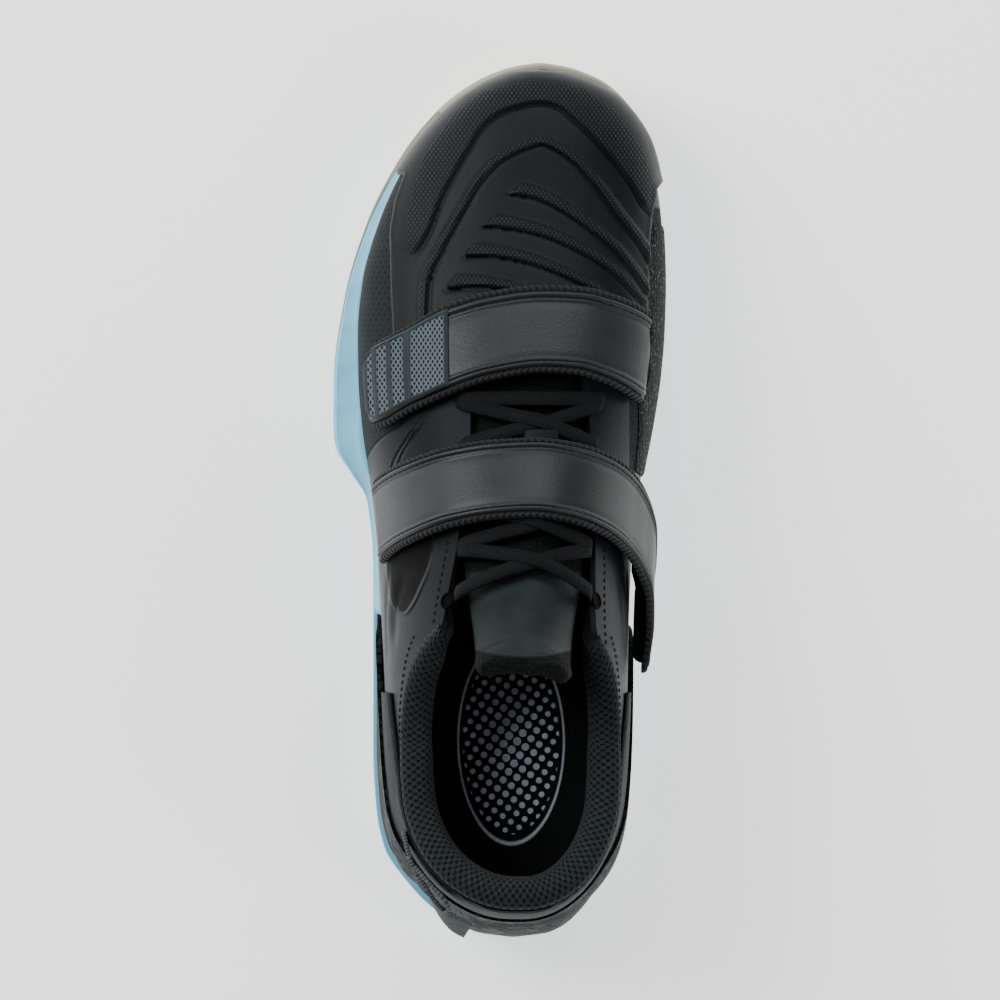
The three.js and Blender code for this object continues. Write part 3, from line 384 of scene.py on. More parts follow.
def midsole_finish():
    material, tree, shader = new_finish("teal_polyurethane")
    where = place_of(tree)
    cloud = noise(tree, where, 0.03, 3)
    speck = noise(tree, where, 0.0009, 3)
    height = add(tree, "SeparateXYZ", {"Vector": where}).outputs["Z"]
    tint = blend_colours(tree, between(tree, cloud, 0.3, 0.7), colour(TEAL, 0.84), colour(TEAL, 1.0))
    # painted shade: the teal wall is mixed darker towards its foot, low by the outsole, by height alone
    tint = blend_colours(tree, between(tree, height, 0.004, 0.02, 0.35, 0.0), tint, colour("#84abba", 0.8))
    tree.links.new(tint, shader.inputs["Base Color"])
    tree.links.new(between(tree, speck, 0.3, 0.7, 0.42, 0.52), shader.inputs["Roughness"])
    shader.inputs["Subsurface Weight"].default_value = 0.04
    shader.inputs["Subsurface Scale"].default_value = 0.003
    bump(tree, shader, speck, 0.00004)
    return material


def side_bands(share):
    """The soft upright bands of the flare, each a shallow hollow with a firm edge."""
    wave = (share * LENGTH / 0.014) % 1
    return 0.0006 * ramp(wave, 0, 0.75) * (1 - ramp(wave, 0.9, 1)) * ramp(share, 0.53,
        0.60) * (1 - ramp(share, 0.86, 0.93))


def midsole_level(up, draft, lean, hollow=0.0, bands=0.0):
    base = raised(bottom_at, OUTSOLE_THICKNESS + GAP)

    def height(y):
        foot = np.maximum(base(y) + GAP, np.minimum(CLIP_FOOT, top_at(y) - TOE_WRAP_WALL))
        return foot + (top_at(y) - foot) * up

    def inset(share):
        wrap = (TOE_WRAP_WALL + GAP) * ramp(share, 0.87, 0.92)
        clip = (CLIP_WALL + GAP) * (1 - ramp(share, CLIP_END - 0.01, CLIP_END + 0.004)) if up > 0 else 0
        return wrap + clip + hollow

    heel = (CLIP_WALL + GAP if up > 0 else 0) + lean * HEEL_DRAFT
    return {"height": height, "inset": inset, "draft": draft, "heel": heel + hollow,
            "toe": TOE_WRAP_WALL + GAP + lean * TOE_DRAFT + hollow,
            "flare": lambda share: bands * side_bands(share)}


wrap_inset = lambda s: (TOE_WRAP_WALL + GAP) * ramp(s, 0.87, 0.92)
midsole_levels = [
    {"height": raised(bottom_at, OUTSOLE_THICKNESS + GAP), "toe": TOE_WRAP_WALL + GAP,
     "inset": lambda s: wrap_inset(s) + 0.0006, "heel": 0.0006},
    {"height": raised(bottom_at, OUTSOLE_THICKNESS + GAP + 0.0005), "toe": TOE_WRAP_WALL + GAP,
     "inset": wrap_inset},
    midsole_level(0, 0.12, 0)]
for up, hollow in [(0.02, 0), (0.14, 0.0002), (0.3, 0.0004), (0.48, 0.0005), (0.66, 0.0004), (0.82, 0.0002),
                   (0.93, 0.0), (0.975, 0.0004), (1.0, 0.0014)]:
    bands = 1.0 if up < 0.9 else 0.3
    midsole_levels.append(midsole_level(up, 0.12 + 0.88 * up, up, hollow, bands))
midsole_skin = tube(sole_rings(midsole_levels, end_shares(300)))
add_piece("midsole_wedge", midsole_skin, midsole_finish(), "midsole", "midsole", sharp=50)

# Upper.
# One hollow shell of synthetic leather over textile, lasted to the sole. It is open underneath, at
# the throat and at the collar. The lateral forefoot is pinholed and the medial side is knitted.
INSTEP_HEIGHT = 0.095
COUNTER_HEIGHT = 0.066
WALL = 0.0022
ROUND_SHARE = 0.62
LAST_SECTIONS = table("ground rise ridge up spine lateral medial pinch widest fullness", [
    (0.9835, 0.05, 0.9835, 0.090, 0.100, 0.083, 0.117, 0.10, 0.40, 2.2),
    (0.9808, -0.05, 0.9808, 0.145, 0.101, 0.030, 0.190, 0.10, 0.40, 2.3),
    (0.9738, -0.09, 0.9738, 0.188, 0.102, -0.020, 0.255, 0.05, 0.36, 2.4),
    (0.9605, -0.09, 0.9605, 0.232, 0.103, -0.086, 0.330, 0.04, 0.32, 2.4),
    (0.9410, -0.09, 0.9410, 0.275, 0.104, -0.154, 0.385, 0.03, 0.28, 2.4),
    (0.9067, -0.09, 0.9067, 0.325, 0.105, -0.239, 0.440, 0.03, 0.25, 2.4),
    (0.8667, -0.09, 0.8667, 0.366, 0.105, -0.307, 0.466, 0.03, 0.23, 2.4),
    (0.8133, -0.09, 0.8133, 0.417, 0.104, -0.368, 0.483, 0.03, 0.21, 2.35),
    (0.7500, -0.09, 0.7500, 0.476, 0.102, -0.414, 0.489, 0.03, 0.20, 2.3),
    (0.6933, -0.09, 0.6950, 0.535, 0.099, -0.428, 0.485, 0.03, 0.19, 2.25),
    (0.6400, -0.09, 0.6510, 0.585, 0.095, -0.427, 0.474, 0.03, 0.18, 2.2),
    (0.5800, -0.09, 0.6080, 0.636, 0.088, -0.416, 0.451, 0.03, 0.18, 2.15),
    (0.5100, -0.09, 0.5630, 0.688, 0.080, -0.391, 0.417, 0.03, 0.19, 2.1),
    (0.4400, -0.09, 0.5190, 0.736, 0.073, -0.372, 0.393, 0.03, 0.21, 2.1),
    (0.3650, -0.09, 0.4770, 0.780, 0.067, -0.362, 0.381, 0.03, 0.24, 2.1),
    (0.2900, -0.09, 0.4400, 0.822, 0.062, -0.354, 0.374, 0.03, 0.27, 2.1),
    (0.2130, -0.09, 0.4100, 0.858, 0.057, -0.347, 0.369, 0.03, 0.30, 2.1),
    (0.1400, -0.09, 0.3870, 0.890, 0.053, -0.338, 0.362, 0.05, 0.33, 2.1),
    (0.0830, -0.08, 0.3700, 0.920, 0.049, -0.326, 0.351, 0.16, 0.36, 2.1),
    (0.0470, -0.04, 0.3570, 0.945, 0.046, -0.313, 0.340, 0.58, 0.39, 2.15),
    (0.0350, 0.12, 0.3500, 0.963, 0.044, -0.302, 0.332, 0.93, 0.42, 2.2),
    (0.0320, 0.33, 0.3440, 0.976, 0.043, -0.292, 0.325, 0.95, 0.44, 2.25),
    (0.0350, 0.56, 0.3400, 0.985, 0.042, -0.284, 0.319, 0.95, 0.46, 2.3),
    (0.0420, 0.78, 0.3360, 0.993, 0.041, -0.279, 0.314, 0.95, 0.47, 2.3),
    (0.0500, 1.00, 0.3330, 1.000, 0.040, -0.275, 0.311, 0.95, 0.48, 2.3),
])
LAST_TOP = len(LAST_SECTIONS["ground"]) - 1
LAST_SECTIONS["row"] = np.arange(LAST_TOP + 1, dtype=float)
TOPLINE = table("along up", [
    (0.045, 0.965), (0.065, 0.930), (0.110, 0.840), (0.170, 0.752), (0.230, 0.722), (0.285, 0.775),
    (0.330, 0.890), (0.375, 1.040)])
THROAT = table("along lateral medial", [
    (0.300, -0.210, 0.272), (0.375, -0.182, 0.262), (0.460, -0.140, 0.264), (0.560, -0.104, 0.256),
    (0.620, -0.098, 0.240), (0.655, -0.070, 0.210), (0.668, 0.010, 0.140)])


def last_point(place, turn):
    """A point of the last: place is a row of its sections, turn goes from -1 at the lateral foot
    over 0 at the ridge to 1 at the medial foot."""
    place, turn = np.broadcast_arrays(np.asarray(place, float), np.asarray(turn, float))
    value = {name: column(LAST_SECTIONS, "row", name, place) for name in LAST_SECTIONS if name != "row"}
    ground, ridge = along_y(value["ground"]), along_y(value["ridge"])
    ground_z = top_at(ground) + value["rise"] * COUNTER_HEIGHT
    ridge_z = top_at(ridge) + value["up"] * INSTEP_HEIGHT
    power = 2 / value["fullness"]
    reach = np.abs(turn)
    edge = across_x(np.where(turn < 0, value["lateral"], value["medial"]))
    spine = across_x(value["spine"])
    over = np.clip(reach / ROUND_SHARE, 0, 1) * np.pi / 2
    under = np.clip((reach - ROUND_SHARE) / (1 - ROUND_SHARE), 0, 1) * np.pi / 2
    foot = edge + (spine - edge) * value["pinch"]
    on_round = reach <= ROUND_SHARE
    up = np.where(on_round, value["widest"] + (1 - value["widest"]) * np.maximum(np.cos(over), 0) ** power,
                  value["widest"] * (1 - np.sin(under)))
    x = np.where(on_round, spine + (edge - spine) * np.maximum(np.sin(over), 0) ** power,
                 foot + (edge - foot) * np.cos(under))
    return np.stack([x, ground + (ridge - ground) * up, ground_z + (ridge_z - ground_z) * up], -1)


def last_normal(place, turn):
    step = 0.02
    ahead = last_point(np.clip(place + step, 0, LAST_TOP), turn) - last_point(np.clip(place - step, 0,
                                                                                      LAST_TOP), turn)
    side = last_point(place, np.clip(turn + step, -1, 1)) - last_point(place, np.clip(turn - step, -1, 1))
    normal = np.cross(ahead, side)
    return normal / np.maximum(np.linalg.norm(normal, axis=-1, keepdims=True), 1e-12)


def last_out(place, turn, out):
    """The same point moved out along the surface's normal, or in."""
    place, turn = np.broadcast_arrays(np.asarray(place, float), np.asarray(turn, float))
    return last_point(place, turn) + last_normal(place, turn) * np.asarray(out)[..., None]


HEEL_SEAM = 0.013


def heel_out(place, around, out):
    """The same going round the heel: around is -1 at the lateral ridge, 0 at the heel's middle and 1
    at the medial ridge."""
    reach = np.clip((np.abs(around) - HEEL_SEAM) / (1 - HEEL_SEAM), 0, 1)
    point = last_out(place, np.where(around < 0, reach - 1, 1 - reach), out)
    lateral, medial = last_out(place, np.full_like(around, -1.0), out), last_out(place,
        np.full_like(around, 1.0), out)
    share = np.clip((around + HEEL_SEAM) / (2 * HEEL_SEAM), 0, 1)[..., None]
    return np.where(np.abs(around)[..., None] < HEEL_SEAM, lateral + (medial - lateral) * share, point)


def flat_sheet(first, second, columns, rows):
    """A flat sheet whose x and y run over two ranges."""
    skin = bmesh.new()
    bmesh.ops.create_grid(skin, x_segments=columns, y_segments=rows, size=0.5)
    for vert in skin.verts:
        vert.co.x = first[0] + (first[1] - first[0]) * (vert.co.x + 0.5)
        vert.co.y = second[0] + (second[1] - second[0]) * (vert.co.y + 0.5)
    return skin


def flat_coords(skin):
    spots = np.array([vert.co[:2] for vert in skin.verts])
    return spots[:, 0], spots[:, 1]


def trim(skin, field):
    """Cuts a flat sheet along the line where a field is zero and keeps the side above it."""
    for vert, value in zip(skin.verts, field):
        vert.co.z = value
    parts = skin.verts[:] + skin.edges[:] + skin.faces[:]
    bmesh.ops.bisect_plane(skin, geom=parts, dist=1e-7, plane_co=(0, 0, 0), plane_no=(0, 0, 1),
                           clear_inner=True)
    for vert in skin.verts:
        vert.co.z = 0


def keep_numbers(skin, name, values):
    """Keeps a number on each vertex, for a material to read."""
    layer = skin.verts.layers.float.new(name)
    for vert, value in zip(skin.verts, values):
        vert[layer] = value


def thicken(skin, thickness):
    bmesh.ops.solidify(skin, geom=skin.faces[:], thickness=thickness)


def topline_z(up):
    return HEEL_STACK + up * COUNTER_HEIGHT


def soft_max(one, other, size):
    return np.logaddexp(one / size, other / size) * size


def opening_at(spot):
    """How far inside the collar and throat opening a point lies, below zero outside it."""
    y = spot[..., 1]
    collar = np.minimum(spot[..., 2] - topline_z(column(TOPLINE, "along", "up", share_of(y))),
                        along_y(0.375) - y)
    left = spot[..., 0] - across_x(column(THROAT, "along", "lateral", share_of(y)))
    right = across_x(column(THROAT, "along", "medial", share_of(y))) - spot[..., 0]
    throat = np.minimum(np.minimum(left, right), np.minimum(y - along_y(0.300), along_y(0.668) - y))
    return soft_max(collar, throat, 0.0012)


def path_distance(spot, path):
    """The signed plan distance of points from a path, above zero on its right, and how far along
    the path each lies."""
    path = np.array(path)
    a, b = path[:-1], path[1:]
    run = np.concatenate([[0], np.cumsum(np.linalg.norm(b - a, axis=1))])
    best = np.full(len(spot), 9.0)
    side = np.zeros(len(spot))
    along = np.zeros(len(spot))
    for k in range(len(a)):
        way = b[k] - a[k]
        length = max(np.linalg.norm(way), 1e-9)
        way = way / length
        from_a = spot - a[k]
        t = np.clip(from_a @ way, 0, length)
        gap = np.linalg.norm(from_a - t[:, None] * way, axis=1)
        nearer = gap < best
        best = np.where(nearer, gap, best)
        side = np.where(nearer, np.sign(from_a[:, 0] * way[1] - from_a[:, 1] * way[0]), side)
        along = np.where(nearer, run[k] + t, along)
    return best * side, along


def soft_path(points, steps=12):
    """A soft curve through plan points, in metres."""
    points = np.array(points, float)
    run = np.concatenate([[0], np.cumsum(np.linalg.norm(np.diff(points, axis=0), axis=1))])
    slopes = np.gradient(points, run, axis=0)
    spots = np.linspace(0, run[-1], steps * (len(points) - 1) + 1)
    i = np.clip(np.searchsorted(run, spots, side="right") - 1, 0, len(run) - 2)
    width = (run[i + 1] - run[i])[:, None]
    t = ((spots - run[i])[:, None]) / width
    start, end = points[i], points[i + 1]
    a, b = slopes[i] * width, slopes[i + 1] * width
    return start + a * t + (3 * (end - start) - 2 * a - b) * t**2 + (a + b - 2 * (end - start)) * t**3


def leather_grain(tree, where, size=0.0007):
    """Pebbled grain with fine wrinkles, as a height."""
    cell = add(tree, "TexVoronoi", {"Vector": where, "Scale": 1 / size, "Smoothness": 0.6},
               feature="SMOOTH_F1")
    fine = noise(tree, where, size * 0.5, 3)
    return maths(tree, "ADD", maths(tree, "MULTIPLY", cell.outputs["Distance"], 0.7), maths(tree, "MULTIPLY",
                                                                                            fine, 0.5))


def attribute(tree, name):
    return add(tree, "Attribute", attribute_name=name, attribute_type="GEOMETRY").outputs["Fac"]


def inside_outline(spot, outline):
    """How far inside a closed plan outline points lie, below zero outside it."""
    closed = [tuple(p) for p in outline] + [tuple(outline[0])]
    gap = np.abs(path_distance(spot, closed)[0])
    inside = np.zeros(len(spot), bool)
    for (ax, ay), (bx, by) in zip(closed, closed[1:]):
        crosses = (ay > spot[:, 1]) != (by > spot[:, 1])
        at = ax + (spot[:, 1] - ay) * (bx - ax) / (by - ay if by != ay else 1e-12)
        inside ^= crosses & (spot[:, 0] < at)
    return np.where(inside, gap, -gap)


def upper_finish():
    material, tree, shader = new_finish("upper_leather_and_textile")
    shader.inputs["Specular IOR Level"].default_value = 0.08
    where = place_of(tree)
    cloud = noise(tree, where, 0.018, 3)
    grain = leather_grain(tree, where)
    waves = [maths(tree, "COSINE", maths(tree, "MULTIPLY", value, 2 * math.pi / pitch)) for value, pitch in (
        (add(tree, "SeparateXYZ", {"Vector": where}).outputs["Y"], 0.0036), (attribute(tree, "girth"),
                                                                             0.0034))]
    pin = between(tree, maths(tree, "MULTIPLY", *waves), 0.72, 0.84)
    knit = add(tree, "TexVoronoi", {"Vector": place_of(tree, (1, 0.62, 0.8)), "Scale": 1 / 0.0009,
                                    "Randomness": 0.6}, feature="F1").outputs["Distance"]
    pierced = between(tree, attribute(tree, "pinholed"), 0.0, 0.0004)
    knitted = between(tree, attribute(tree, "knitted"), 0.0, 0.0006)
    smooth = blend_colours(tree, between(tree, cloud, 0.32, 0.68), colour("#23292c"), colour("#2f3539"))
    pierced_tint = blend_colours(tree, maths(tree, "MULTIPLY", pin, 0.9), colour("#3b4245"),
                                 colour("#0b0d0e"))
    knit_tint = blend_colours(tree, between(tree, knit, 0.15, 0.5), colour("#14181a"), colour("#2b3032"))
    tint = blend_colours(tree, pierced, smooth, pierced_tint)
    tint = blend_colours(tree, knitted, tint, knit_tint)
    lines = [between(tree, maths(tree, "ABSOLUTE", attribute(tree, name)), 0.0002, 0.0007, 1.0, 0.0)
             for name in ("seam_front", "seam_back", "seam_panel")]
    seam = maths(tree, "MAXIMUM", maths(tree, "MAXIMUM", lines[0], lines[1]), lines[2])
    tint = blend_colours(tree, maths(tree, "MULTIPLY", seam, 0.85), tint, colour("#060809"))
    # painted shade: the slot behind the rear strap's lateral end is not cut; its near-black is painted shade
    # of an opening under the strap
    slot = between(tree, attribute(tree, "slot"), -0.0004, 0.0002)
    tint = blend_colours(tree, slot, tint, colour("#030405"))
    tree.links.new(tint, shader.inputs["Base Color"])
    gloss = between(tree, cloud, 0.3, 0.7, 0.38, 0.48)
    gloss = maths(tree, "ADD", gloss, maths(tree, "MULTIPLY", maths(tree, "MAXIMUM", maths(tree, "MAXIMUM",
        pierced, knitted), slot), 0.3))
    tree.links.new(gloss, shader.inputs["Roughness"])
    fine = bump(tree, shader, grain, 0.00010)
    dents = maths(tree, "MULTIPLY", pin, pierced)
    loops_up = maths(tree, "MULTIPLY", maths(tree, "SUBTRACT", 1.0, knit), knitted)
    rim = between(tree, maths(tree, "ABSOLUTE", maths(tree, "ADD", attribute(tree, "slot"), 0.0009)), 0.0,
                  0.0008, 1.0, 0.0)
    loops_up = maths(tree, "ADD", loops_up, maths(tree, "MULTIPLY", rim, 1.4))
    relief = maths(tree, "SUBTRACT", loops_up, maths(tree, "ADD", dents, seam))
    bump(tree, shader, relief, 0.0005, under=fine)
    return material


def photo_plan(points):
    """Plan places read off as millimetres from the sole's middle, in metres."""
    return [(x / 1000, y / 1000) for x, y in points]


SEAMS = [soft_path(photo_plan(points)) for points in [
    [(-28.9, 23.6), (-31.1, 20.0), (-33.7, 15.6), (-35.3, 11.2), (-37.6, 3.0)],
    [(-31.1, 22.6), (-33.3, 19.0), (-35.9, 14.6), (-37.5, 10.2), (-39.8, 2.0)],
    [(-33.5, 26.5), (-37.0, 23.4), (-41.0, 20.5), (-44.1, 16.6), (-46.5, 8.0)]]]
SLOT = [(-38.8, -12.0), (-24.5, -12.0), (-25.6, -21.0), (-28.6, -28.5), (-32.0, -35.4), (-34.0, -37.8),
        (-35.8, -35.6), (-37.6, -27.0)]
CREASES = [
    # side, depth, width, points from behind forward along the shoe and up, in millimetres
    (-1, 0.00055, 0.0026, [(-50, 73), (-40, 70), (-31, 72), (-24, 78)]),
    (-1, 0.00045, 0.0022, [(-56, 62), (-44, 58), (-33, 58), (-20, 62)]),
    (-1, -0.00040, 0.0035, [(-48, 66), (-38, 64), (-28, 66)]),
    (1, 0.00055, 0.0026, [(-52, 74), (-42, 70), (-32, 71), (-24, 76)]),
    (1, 0.00045, 0.0022, [(-60, 61), (-46, 57), (-34, 58), (-22, 62)]),
    (1, -0.00040, 0.0035, [(-50, 66), (-40, 64), (-28, 66)])]
upper_skin = flat_sheet((-1, 1), (0, LAST_TOP), 250, 190)
around, place = flat_coords(upper_skin)
spot = heel_out(place, around, 0 * place)
trim(upper_skin, spot[:, 2] - top_at(spot[:, 1]) - GAP)
around, place = flat_coords(upper_skin)
trim(upper_skin, -opening_at(heel_out(place, around, 0 * place)))
around, place = flat_coords(upper_skin)
spot = heel_out(place, around, 0 * place)
hollow = np.zeros(len(place))
for side, depth, width, points in CREASES:
    gap, run = path_distance(spot[:, 1:], soft_path(photo_plan(points)))
    length = np.linalg.norm(np.diff(photo_plan(points), axis=0), axis=1).sum()
    ends = ramp(np.minimum(run, length - run), -0.001, 0.008)
    hollow -= depth * np.exp(-(gap / width) ** 2) * ends * (spot[:, 0] * side > 0.012)
grid_place, grid_around = np.meshgrid(np.linspace(0, LAST_TOP, 97), np.linspace(-1, 1, 401), indexing="ij")
grid = heel_out(grid_place, grid_around, 0 * grid_place)
girth = np.concatenate([np.zeros((97, 1)), np.cumsum(np.linalg.norm(np.diff(grid, axis=1), axis=2), axis=1)],
                       1)
row, col = place / LAST_TOP * 96, (around + 1) * 200
r, c = np.minimum(row.astype(int), 95), np.minimum(col.astype(int), 399)
a, b = row - r, col - c
spot_girth = (girth[r, c] * (1 - a) * (1 - b) + girth[r + 1, c] * a * (1 - b) + girth[r, c + 1] * (1 - a) * b
              + girth[r + 1, c + 1] * a * b)
keep_numbers(upper_skin, "girth", spot_girth)
move_verts(upper_skin, heel_out(place, around, hollow))
bmesh.ops.remove_doubles(upper_skin, verts=upper_skin.verts, dist=2e-6)
spot = np.array([vert.co for vert in upper_skin.verts])
gaps = [path_distance(spot[:, :2], seam)[0] for seam in SEAMS]
keep_numbers(upper_skin, "pinholed", np.minimum(np.minimum(across_x(-0.22) - spot[:, 0], gaps[2]),
                                                spot[:, 1] - 0.009))
keep_numbers(upper_skin, "knitted", np.minimum(spot[:, 0] - 0.043, np.minimum(spot[:, 1] - 0.008,
                                                                              0.1 - spot[:, 1])))
for name, gap in zip(("seam_front", "seam_back", "seam_panel"), gaps):
    keep_numbers(upper_skin, name, np.where(spot[:, 0] < 0, gap, 1.0))
# the slot's outline, which the upper's finish paints near-black as painted shade
slot = inside_outline(spot[:, :2], soft_path(photo_plan([*SLOT, SLOT[0]]), 6)[:-1])
keep_numbers(upper_skin, "slot", np.where(spot[:, 0] < 0, slot, -1.0))
thicken(upper_skin, WALL)
add_piece("upper_shell", upper_skin, upper_finish(), "upper", "upper", sharp=60)

# Toe and vamp overlay.
# One sheet of synthetic leather over the toe and vamp, pressed with a fine cross grain at the toe and
# on its raised chevrons, smooth between them, and bonded to the upper with a rolled edge.
OVERLAY = 0.001
RIB_HEIGHT = 0.0012
RIB_WIDTH = 0.0033
VAMP_EDGE = [
    (-0.322, 0.655), (-0.332, 0.740), (-0.334, 0.800), (-0.318, 0.838), (-0.290, 0.868), (-0.420, 0.885),
    (-0.300, 1.020), (0.460, 1.020), (0.560, 0.900), (0.455, 0.850), (0.440, 0.790), (0.432, 0.700),
             (0.425, 0.655)]
TOE_STEP = [(-31.0, 80.9), (-27.0, 85.7), (-19.0, 103.7), (-11.0, 118.1), (-5.0, 127.3), (-1.0, 130.4),
            (6.2, 133.2),
            (14.6, 134.2), (19.4, 132.8), (23.4, 129.6), (35.0, 118.1), (43.0, 107.7), (47.7, 99.3),
            (50.9, 94.9)]
CHEVRONS = {
    "second": [(-26.6, 59.0), (-26.4, 69.0), (-25.6, 75.4), (-22.2, 82.9), (-14.6, 97.3), (-7.4, 109.3),
               (-2.6, 114.5),
               (8.2, 120.4), (13.8, 121.9), (18.6, 120.0), (25.0, 115.5), (33.2, 106.5), (41.4, 95.3),
               (48.6, 85.7), (52.2, 78.0)],
    "third": [(4.8, 105.6), (11.0, 104.3), (19.8, 100.0), (29.5, 93.2), (38.5, 85.6), (45.5, 77.4),
              (51.0, 69.0)],
    "fourth": [(-4.4, 94.8), (4.4, 93.5), (14.4, 90.8), (25.0, 86.0), (34.0, 80.6), (41.4, 74.6),
               (47.8, 67.6)],
    "fifth": [(-10.8, 84.7), (-1.2, 84.0), (9.0, 81.6), (20.0, 77.4), (29.4, 72.6), (37.4, 67.4)],
    "sixth": [(-17.0, 73.7), (-8.5, 73.8), (1.5, 72.6), (11.8, 70.0)],
}


def overlay_finish():
    material, tree, shader = new_finish("vamp_leather")
    where = place_of(tree)
    cloud = noise(tree, where, 0.02, 3)
    grain = leather_grain(tree, where, 0.0005)
    slant = place_of(tree, (1, 1, 1), (0, 0, math.radians(35)))
    cross = place_of(tree, (1, 1, 1), (0, 0, math.radians(-35)))
    lines = [add(tree, "TexWave", {"Vector": way, "Scale": 0.314 / 0.0012, "Distortion": 0.0},
                 wave_type="BANDS", bands_direction="X").outputs["Fac"] for way in (slant, cross)]
    hatch = maths(tree, "MULTIPLY", lines[0], lines[1])
    pressed = between(tree, attribute(tree, "pressed"), 0.0, 0.0005)
    # painted shade: a near-black line is painted in the crease behind each chevron and at the foot of the toe
    # step, as their shadow
    edge = between(tree, maths(tree, "ABSOLUTE", attribute(tree, "crease")), 0.0001, 0.0008, 1.0, 0.0)
    smooth = blend_colours(tree, between(tree, cloud, 0.3, 0.7), colour("#23292b"), colour("#2c3234"))
    hatched = blend_colours(tree, hatch, colour("#14181a"), colour("#485154"))
    tint = blend_colours(tree, pressed, smooth, hatched)
    tint = blend_colours(tree, maths(tree, "MULTIPLY", edge, 0.8), tint, colour("#070a0b"))
    tree.links.new(tint, shader.inputs["Base Color"])
    gloss = maths(tree, "ADD", between(tree, cloud, 0.3, 0.7, 0.40, 0.48), maths(tree, "MULTIPLY", pressed,
                                                                                 0.08))
    tree.links.new(gloss, shader.inputs["Roughness"])
    fine = bump(tree, shader, grain, 0.00007)
    bump(tree, shader, maths(tree, "MULTIPLY", hatch, pressed), 0.00016, under=fine)
    return material


vamp_skin = flat_sheet((0, 13.2), (-0.92, 0.92), 330, 330)
place, turn = flat_coords(vamp_skin)
spot = last_out(place, turn, 0 * place + GAP)
edge = [(across_x(x), along_y(y)) for x, y in VAMP_EDGE]
field = np.minimum(inside_outline(spot[:, :2], edge), spot[:, 2] - top_at(spot[:, 1]) - GAP)
trim(vamp_skin, field)
place, turn = flat_coords(vamp_skin)
spot = last_out(place, turn, 0 * place + GAP)
lift = np.full(len(place), OVERLAY)
pressed = np.full(len(place), -0.004)
crease = np.full(len(place), 1.0)
for name, points in CHEVRONS.items():
    whole_rib = name == "second"
    path = soft_path(photo_plan(points))
    lead = 0.0 if whole_rib else 0.010
    if lead:
        path = np.concatenate([[path[0] - lead * (path[2] - path[0]) / np.linalg.norm(path[2] - path[0])],
                               path])
    gap, run = path_distance(spot[:, :2], path)
    run = run - lead
    whole = np.linalg.norm(np.diff(path, axis=0), axis=1).sum() - lead
    wide = RIB_WIDTH + 0 * run if whole_rib else RIB_WIDTH * (1.55 - 0.75 * np.clip(run / whole, 0, 1) ** 0.7)
    cut = run - 0.0012 if whole_rib else (run + gap * 0.85) * 0.75
    low_end = 0.35 + 0.65 * np.clip((whole - run) / 0.02, 0, 1)
    front, back = gap + wide / 2, wide / 2 - gap
    rise = ramp(front, -0.0001, 0.0013) * ramp(back, -0.0001, 0.0005) * ramp(cut, -0.0001, 0.0009)
    slope = 0.72 + 0.28 * np.clip(front / wide, 0, 1)
    lift = lift + RIB_HEIGHT * rise * slope * low_end
    pressed = np.maximum(pressed, np.minimum(np.minimum(front - 0.0004, back), cut))
    ridge_end = ramp(cut, -0.0002, 0.0006)
    # the crease behind each rib, painted dark in the finish as the rib's shadow
    behind = gap - wide / 2 - 0.0003
    crease = np.where((np.abs(behind) < np.abs(crease)) & (cut > -0.0004), behind, crease)
    lift = lift - 0.0005 * np.exp(-((behind - 0.0002) / 0.0005) ** 2) * ridge_end
toe_path = soft_path(photo_plan(TOE_STEP))
gap, run = path_distance(spot[:, :2], toe_path)
toe_reach = np.linalg.norm(np.diff(toe_path, axis=0), axis=1).sum()
ends = ramp(run, 0.0, 0.006) * ramp(toe_reach - run, 0.0, 0.008)
in_front = inside_outline(spot[:, :2], [*toe_path, (0.062, 0.10), (0.062, 0.16), (-0.05, 0.16), (-0.06, 0.08),
                                        (-0.0305, 0.075)])
step_up = ramp(in_front, 0.0, 0.0008) * (1 - ramp(in_front, 0.003, 0.016) * 0.7)
lift = lift + 0.0011 * step_up * ends
lift = lift - 0.0005 * np.exp(-((in_front + 0.0004) / 0.0005) ** 2) * ends
lateral_fade = inside_outline(spot[:, :2], photo_plan([
    (-31.0, 80.5), (-31.6, 97.0), (-28.8, 107.7), (-24.8, 118.1), (-16.0, 130.0), (-6.0, 138.0), (10, 141.5),
    (28, 139.5), (40, 130.5), (48, 118), (52.5, 104), (50.9, 94.9),
                                                       *[tuple(1000 * p) for p in toe_path[::-8]]]))
pressed = np.maximum(pressed, np.minimum(lateral_fade * 0.5, in_front))
# the crease at the foot of the toe step, painted dark in the finish as its shadow
crease = np.where((np.abs(in_front + 0.0003) < np.abs(crease)) & (ends > 0.25), in_front + 0.0003, crease)
border = inside_outline(spot[:, :2], edge)
lift = lift * (0.25 + 0.75 * ramp(border, 0.0, 0.0009)) + 0.0002 * np.exp(-((border - 0.0014) / 0.0006) ** 2)
move_verts(vamp_skin, last_out(place, turn, GAP + lift))
keep_numbers(vamp_skin, "pressed", pressed)
keep_numbers(vamp_skin, "crease", crease)
bmesh.ops.remove_doubles(vamp_skin, verts=vamp_skin.verts, dist=1e-6)
toe_tip = Vector(last_out(np.array([0.0]), np.array([0.0]), np.array([GAP]))[0])
tip = [e for e in vamp_skin.edges if e.is_boundary and max((v.co - toe_tip).length for v in e.verts) < 0.007]
if tip:
    bmesh.ops.holes_fill(vamp_skin, edges=tip, sides=0)
thicken(vamp_skin, 0.0009)
add_piece("vamp_sheet", vamp_skin, overlay_finish(), "overlay", "vamp_overlay", sharp=60)

# Insole.
# A textile-topped foam sockliner laid on the midsole inside the upper, with a pale printed dot panel.
INSOLE_THICKNESS = 0.0035


def solve_turn(place, sign, wanted):
    """The turn on one side of the last where a falling number reaches zero."""
    near, far = np.zeros_like(place), np.full_like(place, float(sign))
    for _ in range(30):
        middle = (near + far) / 2
        above = wanted(place, middle) > 0
        near, far = np.where(above, middle, near), np.where(above, far, middle)
    return (near + far) / 2


